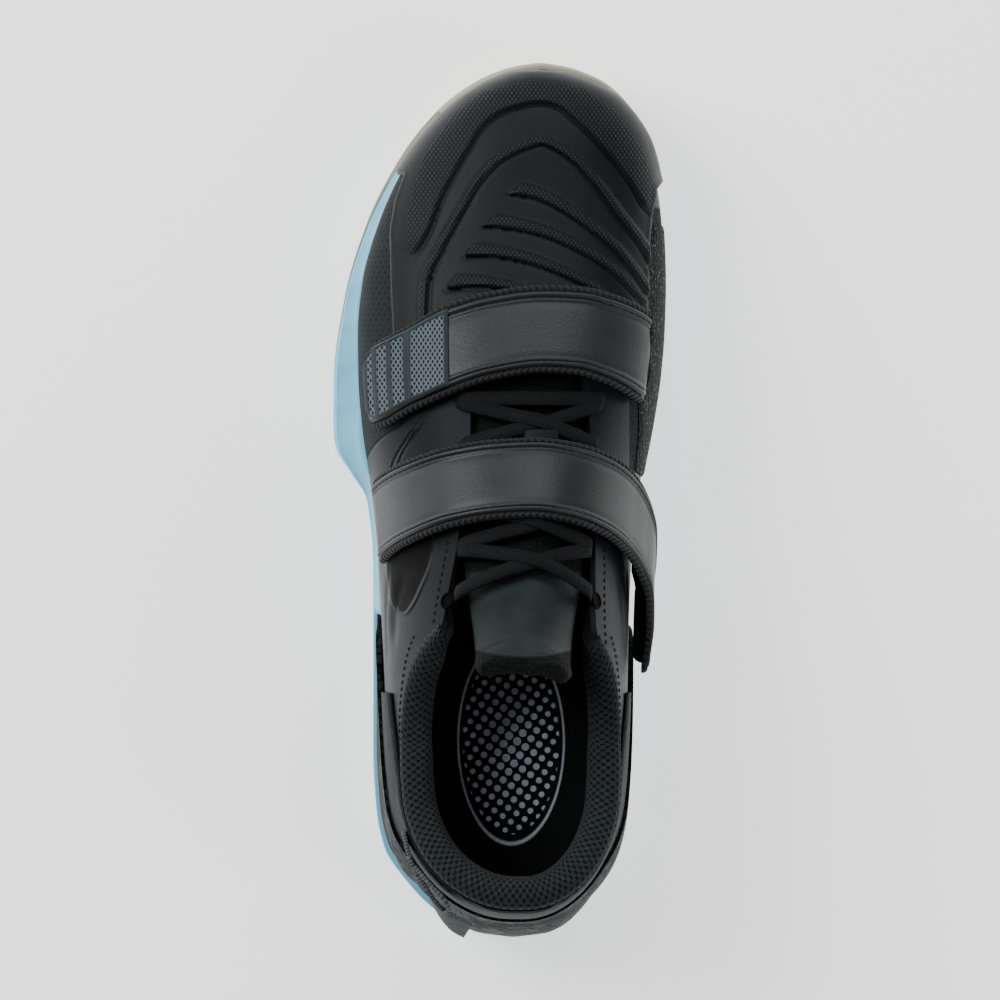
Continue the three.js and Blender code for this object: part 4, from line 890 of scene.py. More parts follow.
def insole_finish():
    material, tree, shader = new_finish("sockliner_textile")
    where = place_of(tree)
    weave = add(tree, "TexVoronoi", {"Vector": where, "Scale": 1 / 0.0008, "Randomness": 0.35},
                feature="F1").outputs["Distance"]
    spots = add(tree, "TexVoronoi", {"Vector": place_of(tree, (1, 1, 0), (0, 0, 0.6)), "Scale": 1 / 0.0034,
                                     "Randomness": 0.0}, feature="F1",
                voronoi_dimensions="2D").outputs["Distance"]
    x, y, _ = add(tree, "SeparateXYZ", {"Vector": where}).outputs
    from_middle = maths(tree, "POWER", maths(tree, "ADD", maths(tree, "POWER", maths(tree, "DIVIDE", maths(
        tree, "SUBTRACT", x, 0.0035), 0.0165), 2.0), maths(tree, "POWER", maths(
            tree, "DIVIDE", maths(tree, "ADD", y, 0.082), 0.032), 2.0)), 0.5)
    panel = between(tree, from_middle, 0.98, 1.0, 1.0, 0.0)
    size = between(tree, from_middle, 0.1, 1.0, 0.42, 0.26)
    dots = maths(tree, "LESS_THAN", spots, size)
    rim = maths(tree, "MULTIPLY", between(tree, from_middle, 1.06, 1.08), between(tree, from_middle, 1.10,
                                                                                  1.12, 1.0, 0.0))
    print_on = maths(tree, "MAXIMUM", maths(tree, "MULTIPLY", dots, panel), rim)
    cloth = blend_colours(tree, weave, colour("#101216"), colour("#1d2025"))
    ink = blend_colours(tree, weave, colour("#c6cad2"), colour("#a4a9b2"))
    tree.links.new(blend_colours(tree, print_on, cloth, ink), shader.inputs["Base Color"])
    shader.inputs["Roughness"].default_value = 0.82
    shader.inputs["Sheen Weight"].default_value = 0.15
    bump(tree, shader, weave, 0.0002)
    return material


rows = np.linspace(0.9, 19.45, 130)
edges = []
for sign in (-1, 1):
    turn = solve_turn(rows, sign, lambda p, t: last_out(p, t, 0 * p - WALL - 0.0008)[:, 2] - top_at(
        last_out(p, t, 0 * p - WALL - 0.0008)[:, 1]) - GAP - INSOLE_THICKNESS * 0.6)
    edges.append(last_out(rows, turn, 0 * rows - WALL - 0.0008))
loops = []
for level, shrink in [(0.0002, 0.985), (INSOLE_THICKNESS - 0.0008, 1.0), (INSOLE_THICKNESS, 0.985)]:
    across = np.linspace(0, 1, 15)
    across = across if level > 0.001 and shrink < 1 else np.array([0.0, 1.0])
    spots = edges[0][:, None] + (edges[1] - edges[0])[:,
                                                      None] * (0.5 + (across[None, :, None] - 0.5) * shrink)
    dish = 0.0016 * np.abs(2 * across - 1) ** 3 if shrink < 1 and level > 0.001 else 0 * across
    spots[..., 2] = top_at(spots[..., 1]) + GAP + level + dish
    loops.append(spots)
insole_rings = np.concatenate([loops[0][:, ::-1], loops[1][:, :1], loops[2], loops[1][:, 1:]], 1)
add_piece("sockliner", tube(insole_rings), insole_finish(), "insole", "insole")

# Heel clip.
# A black moulded stabiliser with a mosaic grain, let into the midsole's side and carried up over the
# upper round the heel, from the waist on one side to the waist on the other.
CLIP_HEIGHT = 0.057
CLIP_TOP = table("along up", [(-0.05, 1.000), (0.080, 0.980), (0.160, 0.860), (0.260, 0.740), (0.330, 0.560),
                              (0.372, 0.300)])
CLIP_SIDE = table("up lean draft inset", [
    (0.00, 0.09, 0.12, 0.36), (0.30, 0.31, 0.40, 0.41), (0.65, 0.61, 0.80, 0.50), (1.00, 1.00, 1.00, 0.91)])


def clip_top_z(y):
    return column(CLIP_TOP, "along", "up", share_of(y)) * CLIP_HEIGHT


def skin_of(points):
    """A search tree over the closed form through rings of points."""
    form = tube(points)
    tree = BVHTree.FromBMesh(form)
    form.free()
    return tree


def last_rings(out, rows=150, turns=110):
    place = np.linspace(0, LAST_TOP, rows)[:, None] + np.zeros(turns)
    turn = np.linspace(-1, 1, turns)[None, :] + np.zeros((rows, 1))
    return last_out(place, turn, np.full(place.shape, out))


def mosaic_finish():
    material, tree, shader = new_finish("mosaic_moulding")
    shader.inputs["Specular IOR Level"].default_value = 0.03
    where = place_of(tree)
    warp = add(tree, "TexNoise", {"Vector": where, "Scale": 1 / 0.006, "Detail": 1.0}).outputs["Color"]
    warped = add(tree, "VectorMath", {0: where, 1: add(tree, "VectorMath", {0: warp, "Scale": 0.0016},
                                                      operation="SCALE").outputs[0]},
                 operation="ADD").outputs[0]
    tile = add(tree, "TexVoronoi", {"Vector": warped, "Scale": 1 / 0.0036},
               feature="DISTANCE_TO_EDGE").outputs["Distance"]
    tone = add(tree, "TexVoronoi", {"Vector": warped, "Scale": 1 / 0.0036}, feature="F1").outputs["Color"]
    fine = noise(tree, where, 0.0005, 2)
    joint = between(tree, tile, 0.02, 0.10)
    shade = add(tree, "SeparateColor", {"Color": tone}).outputs[0]
    face = blend_colours(tree, shade, colour("#15181a"), colour("#3a3f42"))
    tree.links.new(blend_colours(tree, joint, colour("#0a0b0c"), face), shader.inputs["Base Color"])
    tree.links.new(between(tree, shade, 0.0, 1.0, 0.38, 0.55), shader.inputs["Roughness"])
    under = bump(tree, shader, fine, 0.00005)
    bump(tree, shader, joint, 0.0004, under=under)
    return material


clip_levels = []
for up, lean, draft, inset in zip(*[CLIP_SIDE[name] for name in ("up", "lean", "draft", "inset")]):
    clip_levels.append({
        "heel": lean * HEEL_DRAFT, "draft": draft, "inset": lambda s, inset=inset: inset * CLIP_WALL + 0 * s,
        "height": lambda y, up=up: CLIP_FOOT + (CLIP_HEIGHT - CLIP_FOOT) * up + 0 * y})
clip_levels[0]["height"] = lambda y: 0.004 + 0 * y
clip_low = skin_of(sole_rings(clip_levels, end_shares(140)))
clip_high = skin_of(last_rings(GAP + CLIP_WALL))
guide, guide_out = outline_curve(1600)
guide_share = share_of(guide[:, 1])
behind = np.flatnonzero(guide_share < CLIP_END - 0.002)
turn_at = np.flatnonzero(np.diff(behind) > 1)
behind = np.concatenate([behind[turn_at[0] + 1:], behind[:turn_at[0] + 1]]) if len(turn_at) else behind
guide, guide_out = guide[behind], guide_out[behind]
spots = np.linspace(0, len(guide) - 1, 420)
guide = np.stack([np.interp(spots, np.arange(len(guide)), guide[:, k]) for k in (0, 1)], -1)
guide_out = np.stack([np.interp(spots, np.arange(len(guide_out)), guide_out[:, k]) for k in (0, 1)], -1)
RISES = 46
outer = np.zeros((len(guide), RISES + 1, 3))
for i, (point, way) in enumerate(zip(guide, guide_out)):
    high = float(clip_top_z(point[1]))
    for j in range(RISES + 1):
        z = CLIP_FOOT + GAP + (high - CLIP_FOOT - GAP) * j / RISES
        origin = Vector((point[0] + way[0] * 0.03, point[1] + way[1] * 0.03, z))
        reach = 0.05
        for skin in (clip_low, clip_high):
            found = skin.ray_cast(origin, Vector((-way[0], -way[1], 0)), 0.07)
            if found[0] is not None:
                reach = min(reach, found[3])
        outer[i, j] = origin + Vector((-way[0], -way[1], 0)) * reach
for _ in range(4):
    outer[:, 1:-1] = (outer[:, :-2] + 2 * outer[:, 1:-1] + outer[:, 2:]) / 4
    outer[1:-1] = (outer[:-2] + 2 * outer[1:-1] + outer[2:]) / 4
# round the heel's end and medial side the foot of the clip covers the midsole's edge
flare = ramp(guide_out[:, 0], -0.75, -0.25) * ramp(0.30 - share_of(guide[:, 1]), 0, 0.06)
flare = flare[:, None, None] * np.linspace(1, 0, RISES + 1)[None, :, None]
outer[..., :2] += flare * ((guide + 0.0001 * guide_out)[:, None] - outer[..., :2])
clip_skin = bmesh.new()
bmesh.ops.create_grid(clip_skin, x_segments=len(guide) - 1, y_segments=RISES, size=0.5)
flat = np.array([vert.co for vert in clip_skin.verts])
move_verts(clip_skin, outer[np.rint((flat[:, 0] + 0.5) * (len(guide) - 1)).astype(int),
                            np.rint((flat[:, 1] + 0.5) * RISES).astype(int)])
bmesh.ops.recalc_face_normals(clip_skin, faces=clip_skin.faces[:])
probe = min(clip_skin.faces, key=lambda face: face.calc_center_median().y)
if probe.normal.y > 0:
    bmesh.ops.reverse_faces(clip_skin, faces=clip_skin.faces[:])
thicken(clip_skin, 0.0019)
add_piece("heel_stabiliser", clip_skin, mosaic_finish(), "heel_clip", "heel_clip", sharp=50)

# Heel counter.
# A smooth skin of synthetic leather bonded round the heel between the clip and the padded collar,
# with a pressed groove along its top.
COUNTER_TOP = table("along up", [(-0.05, 0.84), (0.060, 0.80), (0.150, 0.66), (0.230, 0.60), (0.285, 0.52)])


def smooth_leather(name, dark, light, rough=0.4, grain_size=0.0006, depth=0.00007, shine=0.1):
    material, tree, shader = new_finish(name)
    shader.inputs["Specular IOR Level"].default_value = shine
    where = place_of(tree)
    cloud = noise(tree, where, 0.016, 3)
    grain = leather_grain(tree, where, grain_size)
    tree.links.new(blend_colours(tree, between(tree, cloud, 0.3, 0.7), colour(dark), colour(light)),
                   shader.inputs["Base Color"])
    tree.links.new(between(tree, grain, 0.2, 0.9, rough - 0.04, rough + 0.06), shader.inputs["Roughness"])
    bump(tree, shader, grain, depth)
    return material


counter_skin = flat_sheet((-0.62, 0.62), (13.0, LAST_TOP), 260, 90)
around, place = flat_coords(counter_skin)
spot = heel_out(place, around, 0 * place + GAP)
low_edge = spot[:, 2] - np.maximum(clip_top_z(spot[:, 1]) - 0.0010, top_at(spot[:, 1]) + GAP)
high_edge = topline_z(column(COUNTER_TOP, "along", "up", share_of(spot[:, 1]))) - spot[:, 2]
trim(counter_skin, np.minimum(np.minimum(low_edge, high_edge), along_y(0.283) - spot[:, 1]))
around, place = flat_coords(counter_skin)
spot = heel_out(place, around, 0 * place + GAP)
high_edge = topline_z(column(COUNTER_TOP, "along", "up", share_of(spot[:, 1]))) - spot[:, 2]
lift = OVERLAY * (0.4 + 0.6 * ramp(high_edge, 0,
                                   0.001)) - 0.0004 * np.exp(-((high_edge - 0.0022) / 0.0004) ** 2)
move_verts(counter_skin, heel_out(place, around, GAP + lift))
bmesh.ops.remove_doubles(counter_skin, verts=counter_skin.verts, dist=1e-6)
thicken(counter_skin, 0.0008)
counter_leather = smooth_leather("counter_leather", "#1f2428", "#2a3035", 0.5, shine=0.03)
add_piece("counter_skin", counter_skin, counter_leather, "counter", "heel_counter", sharp=60)

# Collar.
# A padded roll of spacer mesh over foam round the topline, turned over the upper's edge and sewn down
# inside it, thinning out where it meets the eyestays.
COLLAR_PROFILE = table("rise out", [
    (-4.2, 0.15), (-2.6, 0.9), (-0.8, 1.25), (1.2, 0.7), (2.5, -0.9), (3.1, -3.0), (3.0, -5.2), (2.2, -7.3),
    (0.4, -9.0), (-2.6, -10.2), (-6.5, -10.6), (-11.5, -10.2), (-17.0, -8.8), (-21.5, -6.6), (-24.0, -4.4),
    (-23.4, -2.7), (-14.0, -2.5), (-6.0, -2.5)])


def mesh_finish(name, dark, light, size=0.0026):
    material, tree, shader = new_finish(name)
    where = place_of(tree)
    waves = [maths(tree, "COSINE", maths(tree, "MULTIPLY", attribute(tree, name), 2 * math.pi / pitch))
             for name, pitch in (("along", size), ("round", size * 1.25))]
    cell = between(tree, maths(tree, "MULTIPLY", *waves), -0.1, 0.55)
    fuzz = noise(tree, where, 0.0004, 2)
    # painted highlight: random spots are mixed towards a light grey, as glints on the mesh
    painted_glint = between(tree, noise(tree, where, 0.0009, 1), 0.60, 0.68)
    tint = blend_colours(tree, cell, colour(light), colour(dark))
    tint = blend_colours(tree, maths(tree, "MULTIPLY", painted_glint, 0.25), tint, colour("#5d686a"))
    tree.links.new(tint, shader.inputs["Base Color"])
    shader.inputs["Roughness"].default_value = 0.8
    shader.inputs["Sheen Weight"].default_value = 0.04
    under = bump(tree, shader, fuzz, 0.0001)
    bump(tree, shader, maths(tree, "SUBTRACT", 1.0, cell), 0.0007, under=under)
    return material


def topline_place(around):
    """The row of the last where a line round the heel meets the topline."""
    low, high = np.full_like(around, 8.0), np.full_like(around, float(LAST_TOP))
    for _ in range(34):
        middle = (low + high) / 2
        spot = heel_out(middle, around, 0 * around)
        under = spot[:, 2] < topline_z(column(TOPLINE, "along", "up", share_of(spot[:, 1])))
        low, high = np.where(under, middle, low), np.where(under, high, middle)
    return (low + high) / 2


around = np.linspace(-0.86, 0.86, 900)
place = topline_place(around)
spot = heel_out(place, around, 0 * around)
keep = spot[:, 1] < along_y(0.372)
throat_left = across_x(column(THROAT, "along", "lateral", share_of(spot[:, 1])))
throat_right = across_x(column(THROAT, "along", "medial", share_of(spot[:, 1])))
keep &= (spot[:, 0] < throat_left - 0.0005) | (spot[:, 0] > throat_right + 0.0005) | (spot[:,
                                                                                           1] < along_y(0.28))
around, place, spot = around[keep], place[keep], spot[keep]
run = np.concatenate([[0], np.cumsum(np.linalg.norm(np.diff(spot, axis=0), axis=1))])
even = np.linspace(0, run[-1], 260)
around, place = np.interp(even, run, around), np.interp(even, run, place)
row_length = np.linalg.norm(heel_out(place, around, 0 * around) - heel_out(place - 0.1, around, 0 * around),
                            axis=1) / 0.1
profile = soft_path(list(zip(COLLAR_PROFILE["out"] / 1000, COLLAR_PROFILE["rise"] / 1000)), 3)
ends = ramp(np.minimum(even, run[-1] - even), -0.002, 0.016)
collar_rings = np.zeros((len(even), len(profile), 3))
for k, (out, rise) in enumerate(profile):
    fat = np.where(out < -WALL - GAP, 0.45 + 0.55 * ends, 1.0)
    base_out = -WALL - GAP
    here_out = np.where(out < base_out, base_out + (out - base_out) * fat, out * (0.5 + 0.5 * ends))
    here_rise = rise * (0.55 + 0.45 * ends)
    row = place + np.minimum(here_rise, 0) / row_length
    on = heel_out(np.clip(row, 0, LAST_TOP), around, here_out)
    step = heel_out(place, around, 0 * around) - heel_out(place - 0.1, around, 0 * around)
    upward = step / np.linalg.norm(step, axis=1, keepdims=True)
    ripple = 0.00030 * np.sin(even / 0.0061) * np.sin(k * 0.7) * (out < -0.003)
    collar_rings[:, k] = on + upward * (np.maximum(here_rise, 0) + ripple)[:, None]
collar_skin = tube(collar_rings)
finder = KDTree(collar_rings.shape[0] * collar_rings.shape[1])
for i, point in enumerate(collar_rings.reshape(-1, 3)):
    finder.insert(point, i)
finder.balance()
nearest = np.array([finder.find(vert.co)[1] for vert in collar_skin.verts])
middle_ring = collar_rings[len(collar_rings) // 2]
round_run = np.concatenate([[0], np.cumsum(np.linalg.norm(np.diff(middle_ring, axis=0), axis=1))])
keep_numbers(collar_skin, "along", even[nearest // len(profile)])
keep_numbers(collar_skin, "round", round_run[nearest % len(profile)])
collar = add_piece("collar_roll", collar_skin, mesh_finish("spacer_mesh", "#090b0c", "#3c4647"), "lining",
                   "collar_pad", sharp=80)

# Tongue.
# A foam-padded tongue of soft synthetic leather under the throat, with a rolled tip bound in mesh.
TONGUE_EDGE = table("along lateral medial", [
    (0.306, -0.120, 0.215), (0.350, -0.125, 0.225), (0.450, -0.150, 0.270), (0.600, -0.150, 0.290),
                                             (0.690, -0.090, 0.240)])


def tongue_finish():
    material, tree, shader = new_finish("tongue_leather")
    where = place_of(tree)
    cloud = noise(tree, where, 0.012, 3)
    grain = leather_grain(tree, where, 0.0007)
    weave = add(tree, "TexVoronoi", {"Vector": where, "Scale": 1 / 0.0011, "Randomness": 0.4},
                feature="F1").outputs["Distance"]
    bound = between(tree, attribute(tree, "bound"), 0.0, 0.0008)
    leather = blend_colours(tree, between(tree, cloud, 0.3, 0.7), colour("#2b3435"), colour("#3d4847"))
    cloth = blend_colours(tree, between(tree, weave, 0.1, 0.5), colour("#2a3132"), colour("#0b0e0f"))
    bound = maths(tree, "MAXIMUM", bound,
                  between(tree, add(tree, "SeparateXYZ", {"Vector": where}).outputs["Y"], -0.0255, -0.0235))
    tree.links.new(blend_colours(tree, bound, leather, cloth), shader.inputs["Base Color"])
    tree.links.new(between(tree, bound, 0.0, 1.0, 0.46, 0.8), shader.inputs["Roughness"])
    under = bump(tree, shader, grain, 0.00009)
    bump(tree, shader, maths(tree, "MULTIPLY", maths(tree, "SUBTRACT", 1.0, weave), bound), 0.0005,
         under=under)
    return material


rows = np.linspace(8.6, LAST_TOP, 110)
sides = []
for sign, name in ((-1, "lateral"), (1, "medial")):
    def still_inside(p, t, sign=sign, name=name):
        spot = last_point(p, t)
        return sign * (across_x(column(TONGUE_EDGE, "along", name, share_of(spot[:, 1]))) - spot[:, 0])
    sides.append(solve_turn(rows, sign * 0.6, still_inside))
across = np.sin(np.linspace(-np.pi / 2, np.pi / 2, 33))
narrow = 1 - 0.16 * np.clip((rows - 21.2) / 2.8, 0, 1) ** 2
turn = (sides[0] + sides[1])[:, None] / 2 + (sides[1] - sides[0])[:, None] * narrow[:,
                                                                                    None] * across[None] / 2
swell = np.sqrt(np.clip(1 - across ** 4, 0, 1))[None]
near_tip = ramp(rows, 19.0, 22.4)[:, None]
crease = np.exp(-((rows[:, None] - 22.1) / 0.5) ** 2)
top_out = -0.0052 + 0.0026 * swell + 0.0013 * near_tip * swell - 0.0004 * crease * swell
top_out = top_out + 0.00015 * np.sin(rows[:, None] * 2.3 + across[None] * 2.0) * swell
bottom_out = -0.0056 - 0.0024 * swell - 0.0008 * near_tip
high = last_out(rows[:, None] + 0 * turn, turn, top_out)
low = last_out(rows[:, None] + 0 * turn, turn, bottom_out)
tip_way = high[-1] - high[-3]
tip_way /= np.linalg.norm(tip_way, axis=1, keepdims=True)
middle, radius = (high[-1] + low[-1]) / 2, np.linalg.norm(high[-1] - low[-1], axis=1, keepdims=True) / 2
up_way = (high[-1] - low[-1]) / np.maximum(2 * radius, 1e-6)
arch = (0.1 + 0.9 * np.sqrt(np.clip(1 - across ** 2, 0, 1)))[:, None]
extra_high, extra_low = [], []
for angle in np.linspace(0, np.pi / 2, 9)[1:]:
    push = tip_way * np.sin(angle) * 0.0052 * arch
    extra_high.append(middle + up_way * radius * np.cos(angle) + push)
    extra_low.append(middle - up_way * radius * np.cos(angle) + push)
high, low = np.concatenate([high, extra_high]), np.concatenate([low, extra_low])
tongue_skin = tube(np.concatenate([high, low[:, ::-1]], 1))
tip_y = np.array([vert.co for vert in tongue_skin.verts])
from_middle = (tip_y[:, 0] - across_x(0.05)) / 0.022
keep_numbers(tongue_skin, "bound", (along_y(0.340) - 0.0035 * (1 - np.clip(from_middle, -1, 1) ** 2))
             - tip_y[:, 1])
tongue = add_piece("tongue_pad", tongue_skin, tongue_finish(), "tongue", "tongue", sharp=80)

# Laces.
# Flat woven black laces, crossed over the tongue from one row of eyelets to the next and passed down
# through punched eyelets in both eyestays.
LACE_WIDTH = 0.0055
EYELETS = table("along lateral medial", [
    (0.612, -0.197, 0.245), (0.556, -0.200, 0.254), (0.500, -0.206, 0.262), (0.444, -0.216, 0.268),
                                         (0.388, -0.232, 0.276)])


def place_along(turn, y):
    """The row of the last where a turn's line passes a place along the shoe."""
    low, high = np.zeros_like(turn), np.full_like(turn, float(LAST_TOP))
    for _ in range(32):
        middle = (low + high) / 2
        ahead = last_point(middle, turn)[..., 1] > y
        low, high = np.where(ahead, middle, low), np.where(ahead, high, middle)
    return (low + high) / 2


def row_length_at(place, turn, out):
    ahead, back = last_out(place + 0.05, turn, out), last_out(place - 0.05, turn, out)
    return np.linalg.norm(ahead - back, axis=-1) / 0.1


def lace_finish():
    material, tree, shader = new_finish("woven_lace")
    where = place_of(tree)
    weave = add(tree, "TexVoronoi", {"Vector": where, "Scale": 1 / 0.0008, "Randomness": 0.3},
                feature="F1").outputs["Distance"]
    tree.links.new(blend_colours(tree, weave, colour("#272c2e"), colour("#0d0f10")),
                   shader.inputs["Base Color"])
    shader.inputs["Roughness"].default_value = 0.75
    bump(tree, shader, maths(tree, "SUBTRACT", 1.0, weave), 0.0003)
    return material


def lace_run(start, end, over, bow=0.0):
    """One flat run between two eyelets, over or under its partner where they cross."""
    t = np.linspace(0, 1, 40)
    turn = start[0] + (end[0] - start[0]) * t
    y = along_y(start[1] + (end[1] - start[1]) * t) + bow * np.sin(np.pi * t)
    place = place_along(turn, y)
    dive = 1 - ramp(np.minimum(t, 1 - t), 0.0, 0.10)
    lift = 0.0009 + over * 0.0009 * np.exp(-((t - 0.5) / 0.10) ** 2) - dive * 0.0034
    half = LACE_WIDTH / 2 / row_length_at(place, turn, lift) * (1 - 0.35 * dive)
    profile = [(-1, 0.25), (-0.86, 0.85), (0, 1.0), (0.86, 0.85), (1, 0.25), (0.86, -0.05), (0, 0.0),
               (-0.86, -0.05)]
    rings = [last_out(place + across * half, turn, lift + 0.0013 * up) for across, up in profile]
    return tube(np.stack(rings, 1))


laces_skin = bmesh.new()
take(laces_skin, lace_run((EYELETS["lateral"][0], EYELETS["along"][0]), (EYELETS["medial"][0],
                                                                         EYELETS["along"][0]), 0))
for row in range(4):
    here = [(EYELETS[side][row], EYELETS["along"][row]) for side in ("lateral", "medial")]
    after = [(EYELETS[side][row + 1], EYELETS["along"][row + 1]) for side in ("lateral", "medial")]
    bow = 0.004 if row == 3 else 0.0
    take(laces_skin, lace_run(here[0], after[1], 1, bow))
    take(laces_skin, lace_run(here[1], after[0], -0.3, bow))
add_piece("lace_runs", laces_skin, lace_finish(), "lace", "laces", sharp=80)

eyelet_skin = bmesh.new()
for row in (4,):
    for side in ("lateral", "medial"):
        turn, y = np.array([EYELETS[side][row]]), along_y(EYELETS["along"][row])
        place = place_along(turn, np.array([y]))
        centre, normal = Vector(last_out(place, turn, np.array([0.0001]))[0]), Vector(last_normal(place,
                                                                                                  turn)[0])
        turned = Matrix.Translation(centre) @ normal.to_track_quat("Z", "Y").to_matrix().to_4x4()
        bead = bmesh.new()
        bmesh.ops.create_circle(bead, segments=10, radius=0.0004,
                                matrix=Matrix.Translation((0.0026, 0, 0)) @ Matrix.Rotation(math.pi / 2, 4,
                                                                                            "X"))
        bmesh.ops.spin(bead, geom=bead.verts[:] + bead.edges[:], cent=(0, 0, 0), axis=(0, 0, 1),
                       angle=2 * math.pi, steps=28, use_merge=True)
        bmesh.ops.recalc_face_normals(bead, faces=bead.faces[:])
        # painted shade: a near-black disc over each eyelet stands in for the shade inside its punched hole
        bmesh.ops.create_circle(bead, cap_ends=True, segments=20, radius=0.0024,
                                matrix=Matrix.Translation((0, 0, 0.00005)))
        bmesh.ops.transform(bead, matrix=turned, verts=bead.verts)
        take(eyelet_skin, bead)
add_piece("eyelet_rims", eyelet_skin, smooth_leather("eyelet_black_and_hole_shade", "#060708", "#0d0f10", 0.6, shine=0.03),
          "lace")

# Straps.
# Two hook-and-loop bands of synthetic leather over webbing. Each long edge is piped and sewn with two
# rows of stitches, and outside the piping runs a braided webbing edge.
STRAP_WIDTH = 0.030
STRAP_THICKNESS = 0.0024
FRONT_STRAP = table("turn along out width", [
    (-0.446, 0.622, 0.062, 0.72), (-0.420, 0.628, 0.062, 0.94), (-0.360, 0.636, 0.066, 1.00),
                                             (-0.269, 0.649, 0.092, 1.00),
    (-0.177, 0.664, 0.112, 1.00), (-0.085, 0.676, 0.114, 1.00), (0.015, 0.683, 0.114, 1.00),
                                             (0.100, 0.682, 0.114, 1.00),
    (0.184, 0.676, 0.114, 1.00), (0.292, 0.666, 0.100, 1.00), (0.370, 0.658, 0.066, 1.00)])
REAR_STRAP = table("turn along out width", [
    (-0.510, 0.472, 0.030, 1.00), (-0.454, 0.482, 0.035, 1.00), (-0.299, 0.499, 0.084, 1.00),
                                            (-0.183, 0.510, 0.112, 1.00),
    (-0.084, 0.516, 0.114, 1.00), (0.010, 0.518, 0.114, 1.00), (0.120, 0.514, 0.114, 1.00),
                                            (0.247, 0.503, 0.114, 1.00),
    (0.370, 0.484, 0.122, 1.00), (0.450, 0.462, 0.160, 1.00), (0.520, 0.430, 0.210, 0.98),
                                            (0.575, 0.390, 0.200, 0.94),
    (0.600, 0.356, 0.160, 0.94), (0.620, 0.340, 0.150, 0.84)])
STRAP_SECTION = table("across height", [
    (-1.000, 0.30), (-0.985, 0.62), (-0.950, 0.84), (-0.905, 0.84), (-0.880, 0.66), (-0.868, 0.62),
                                        (-0.850, 0.86),
    (-0.825, 1.10), (-0.795, 1.14), (-0.765, 1.08), (-0.745, 0.90), (-0.735, 0.86), (-0.715, 1.00),
                                        (-0.690, 1.06),
    (-0.660, 1.00), (-0.640, 0.90), (-0.600, 0.97), (-0.450, 1.00), (-0.200, 1.00), (0.000, 1.00),
                                        (0.200, 1.00),
    (0.450, 1.00), (0.600, 0.97), (0.640, 0.90), (0.660, 1.00), (0.690, 1.06), (0.715, 1.00), (0.735, 0.86),
    (0.745, 0.90), (0.765, 1.08), (0.795, 1.14), (0.825, 1.10), (0.850, 0.86), (0.868, 0.62), (0.880, 0.66),
    (0.905, 0.84), (0.950, 0.84), (0.985, 0.62), (1.000, 0.30)])


def strap_frame(rows, turn):
    y = along_y(column(rows, "turn", "along", turn))
    place = place_along(turn, y)
    out = column(rows, "turn", "out", turn) * STRAP_WIDTH
    half = column(rows, "turn", "width", turn) * STRAP_WIDTH / 2 / row_length_at(place, turn, out)
    return place, out, half


def strap_skin(rows, stations):
    turn = np.linspace(rows["turn"][0], rows["turn"][-1], stations)
    place, out, half = strap_frame(rows, turn)
    line = last_out(place, turn, out)
    run = np.concatenate([[0], np.cumsum(np.linalg.norm(np.diff(line, axis=0), axis=1))])
    blunt = np.sqrt(np.clip(1 - (1 - np.clip(run / 0.0035, 0, 1)) ** 2, 0.0, 1)) * np.sqrt(
        np.clip(1 - (1 - np.clip((run[-1] - run) / 0.0035, 0, 1)) ** 2, 0.0, 1))
    blunt = np.maximum(blunt, 0.05)
    rings = []
    for across, height in zip(STRAP_SECTION["across"], STRAP_SECTION["height"]):
        shift = 1 - (1 - blunt) * 0.16
        rings.append(last_out(place + across * half * shift, turn,
                              out + STRAP_THICKNESS * height * (0.35 + 0.65 * blunt)))
    for across in (1, 0.5, 0, -0.5, -1):
        shift = 1 - (1 - blunt) * 0.16
        rings.append(last_out(place + across * half * shift, turn, out))
    skin = tube(np.stack(rings, 1))
    spots = np.array([vert.co for vert in skin.verts])
    tops = np.stack([last_out(place + a * half, turn, out + STRAP_THICKNESS) for a in np.linspace(-1, 1, 41)],
                    1)
    flat_tops, marks = tops.reshape(-1, 3), np.tile(np.linspace(-1, 1, 41), len(turn))
    runs = np.repeat(run, 41)
    tree = KDTree(len(flat_tops))
    for i, point in enumerate(flat_tops):
        tree.insert(point, i)
    tree.balance()
    nearest = [tree.find(point)[1] for point in spots]
    keep_numbers(skin, "across", marks[nearest])
    keep_numbers(skin, "run", runs[nearest])
    return skin


def strap_finish():
    material, tree, shader = new_finish("strap_leather")
    shader.inputs["Specular IOR Level"].default_value = 0.3
    where = place_of(tree)
    cloud = noise(tree, where, 0.02, 3)
    grain = leather_grain(tree, where, 0.0006)
    width = maths(tree, "ABSOLUTE", attribute(tree, "across"))
    run = attribute(tree, "run")
    braided = between(tree, width, 0.868, 0.876)
    slant = maths(tree, "MULTIPLY", width, 26.0)
    plait = maths(tree, "SINE", maths(tree, "ADD", maths(tree, "MULTIPLY", run, 2 * math.pi / 0.0022), slant))
    plait = between(tree, plait, -1.0, 1.0)
    face = blend_colours(tree, between(tree, cloud, 0.3, 0.7), colour("#2e3234"), colour("#393d3f"))
    edge = blend_colours(tree, plait, colour("#08090a"), colour("#30363a"))
    groove = maths(tree, "MAXIMUM", between(tree, maths(tree, "ABSOLUTE", maths(tree, "SUBTRACT", width,
        0.738)), 0.006, 0.016, 1.0, 0.0),
                   between(tree, maths(tree, "ABSOLUTE", maths(tree, "SUBTRACT", width, 0.868)), 0.006, 0.018,
                           1.0, 0.0))
    tint = blend_colours(tree, braided, face, edge)
    tint = blend_colours(tree, maths(tree, "MULTIPLY", groove, 0.8), tint, colour("#0b0d0e"))
    tree.links.new(tint, shader.inputs["Base Color"])
    tree.links.new(maths(tree, "ADD", between(tree, cloud, 0.3, 0.7, 0.36, 0.44), maths(tree, "MULTIPLY",
        braided, 0.3)), shader.inputs["Roughness"])
    under = bump(tree, shader, grain, 0.00008)
    bump(tree, shader, maths(tree, "MULTIPLY", plait, braided), 0.0005, under=under)
    return material


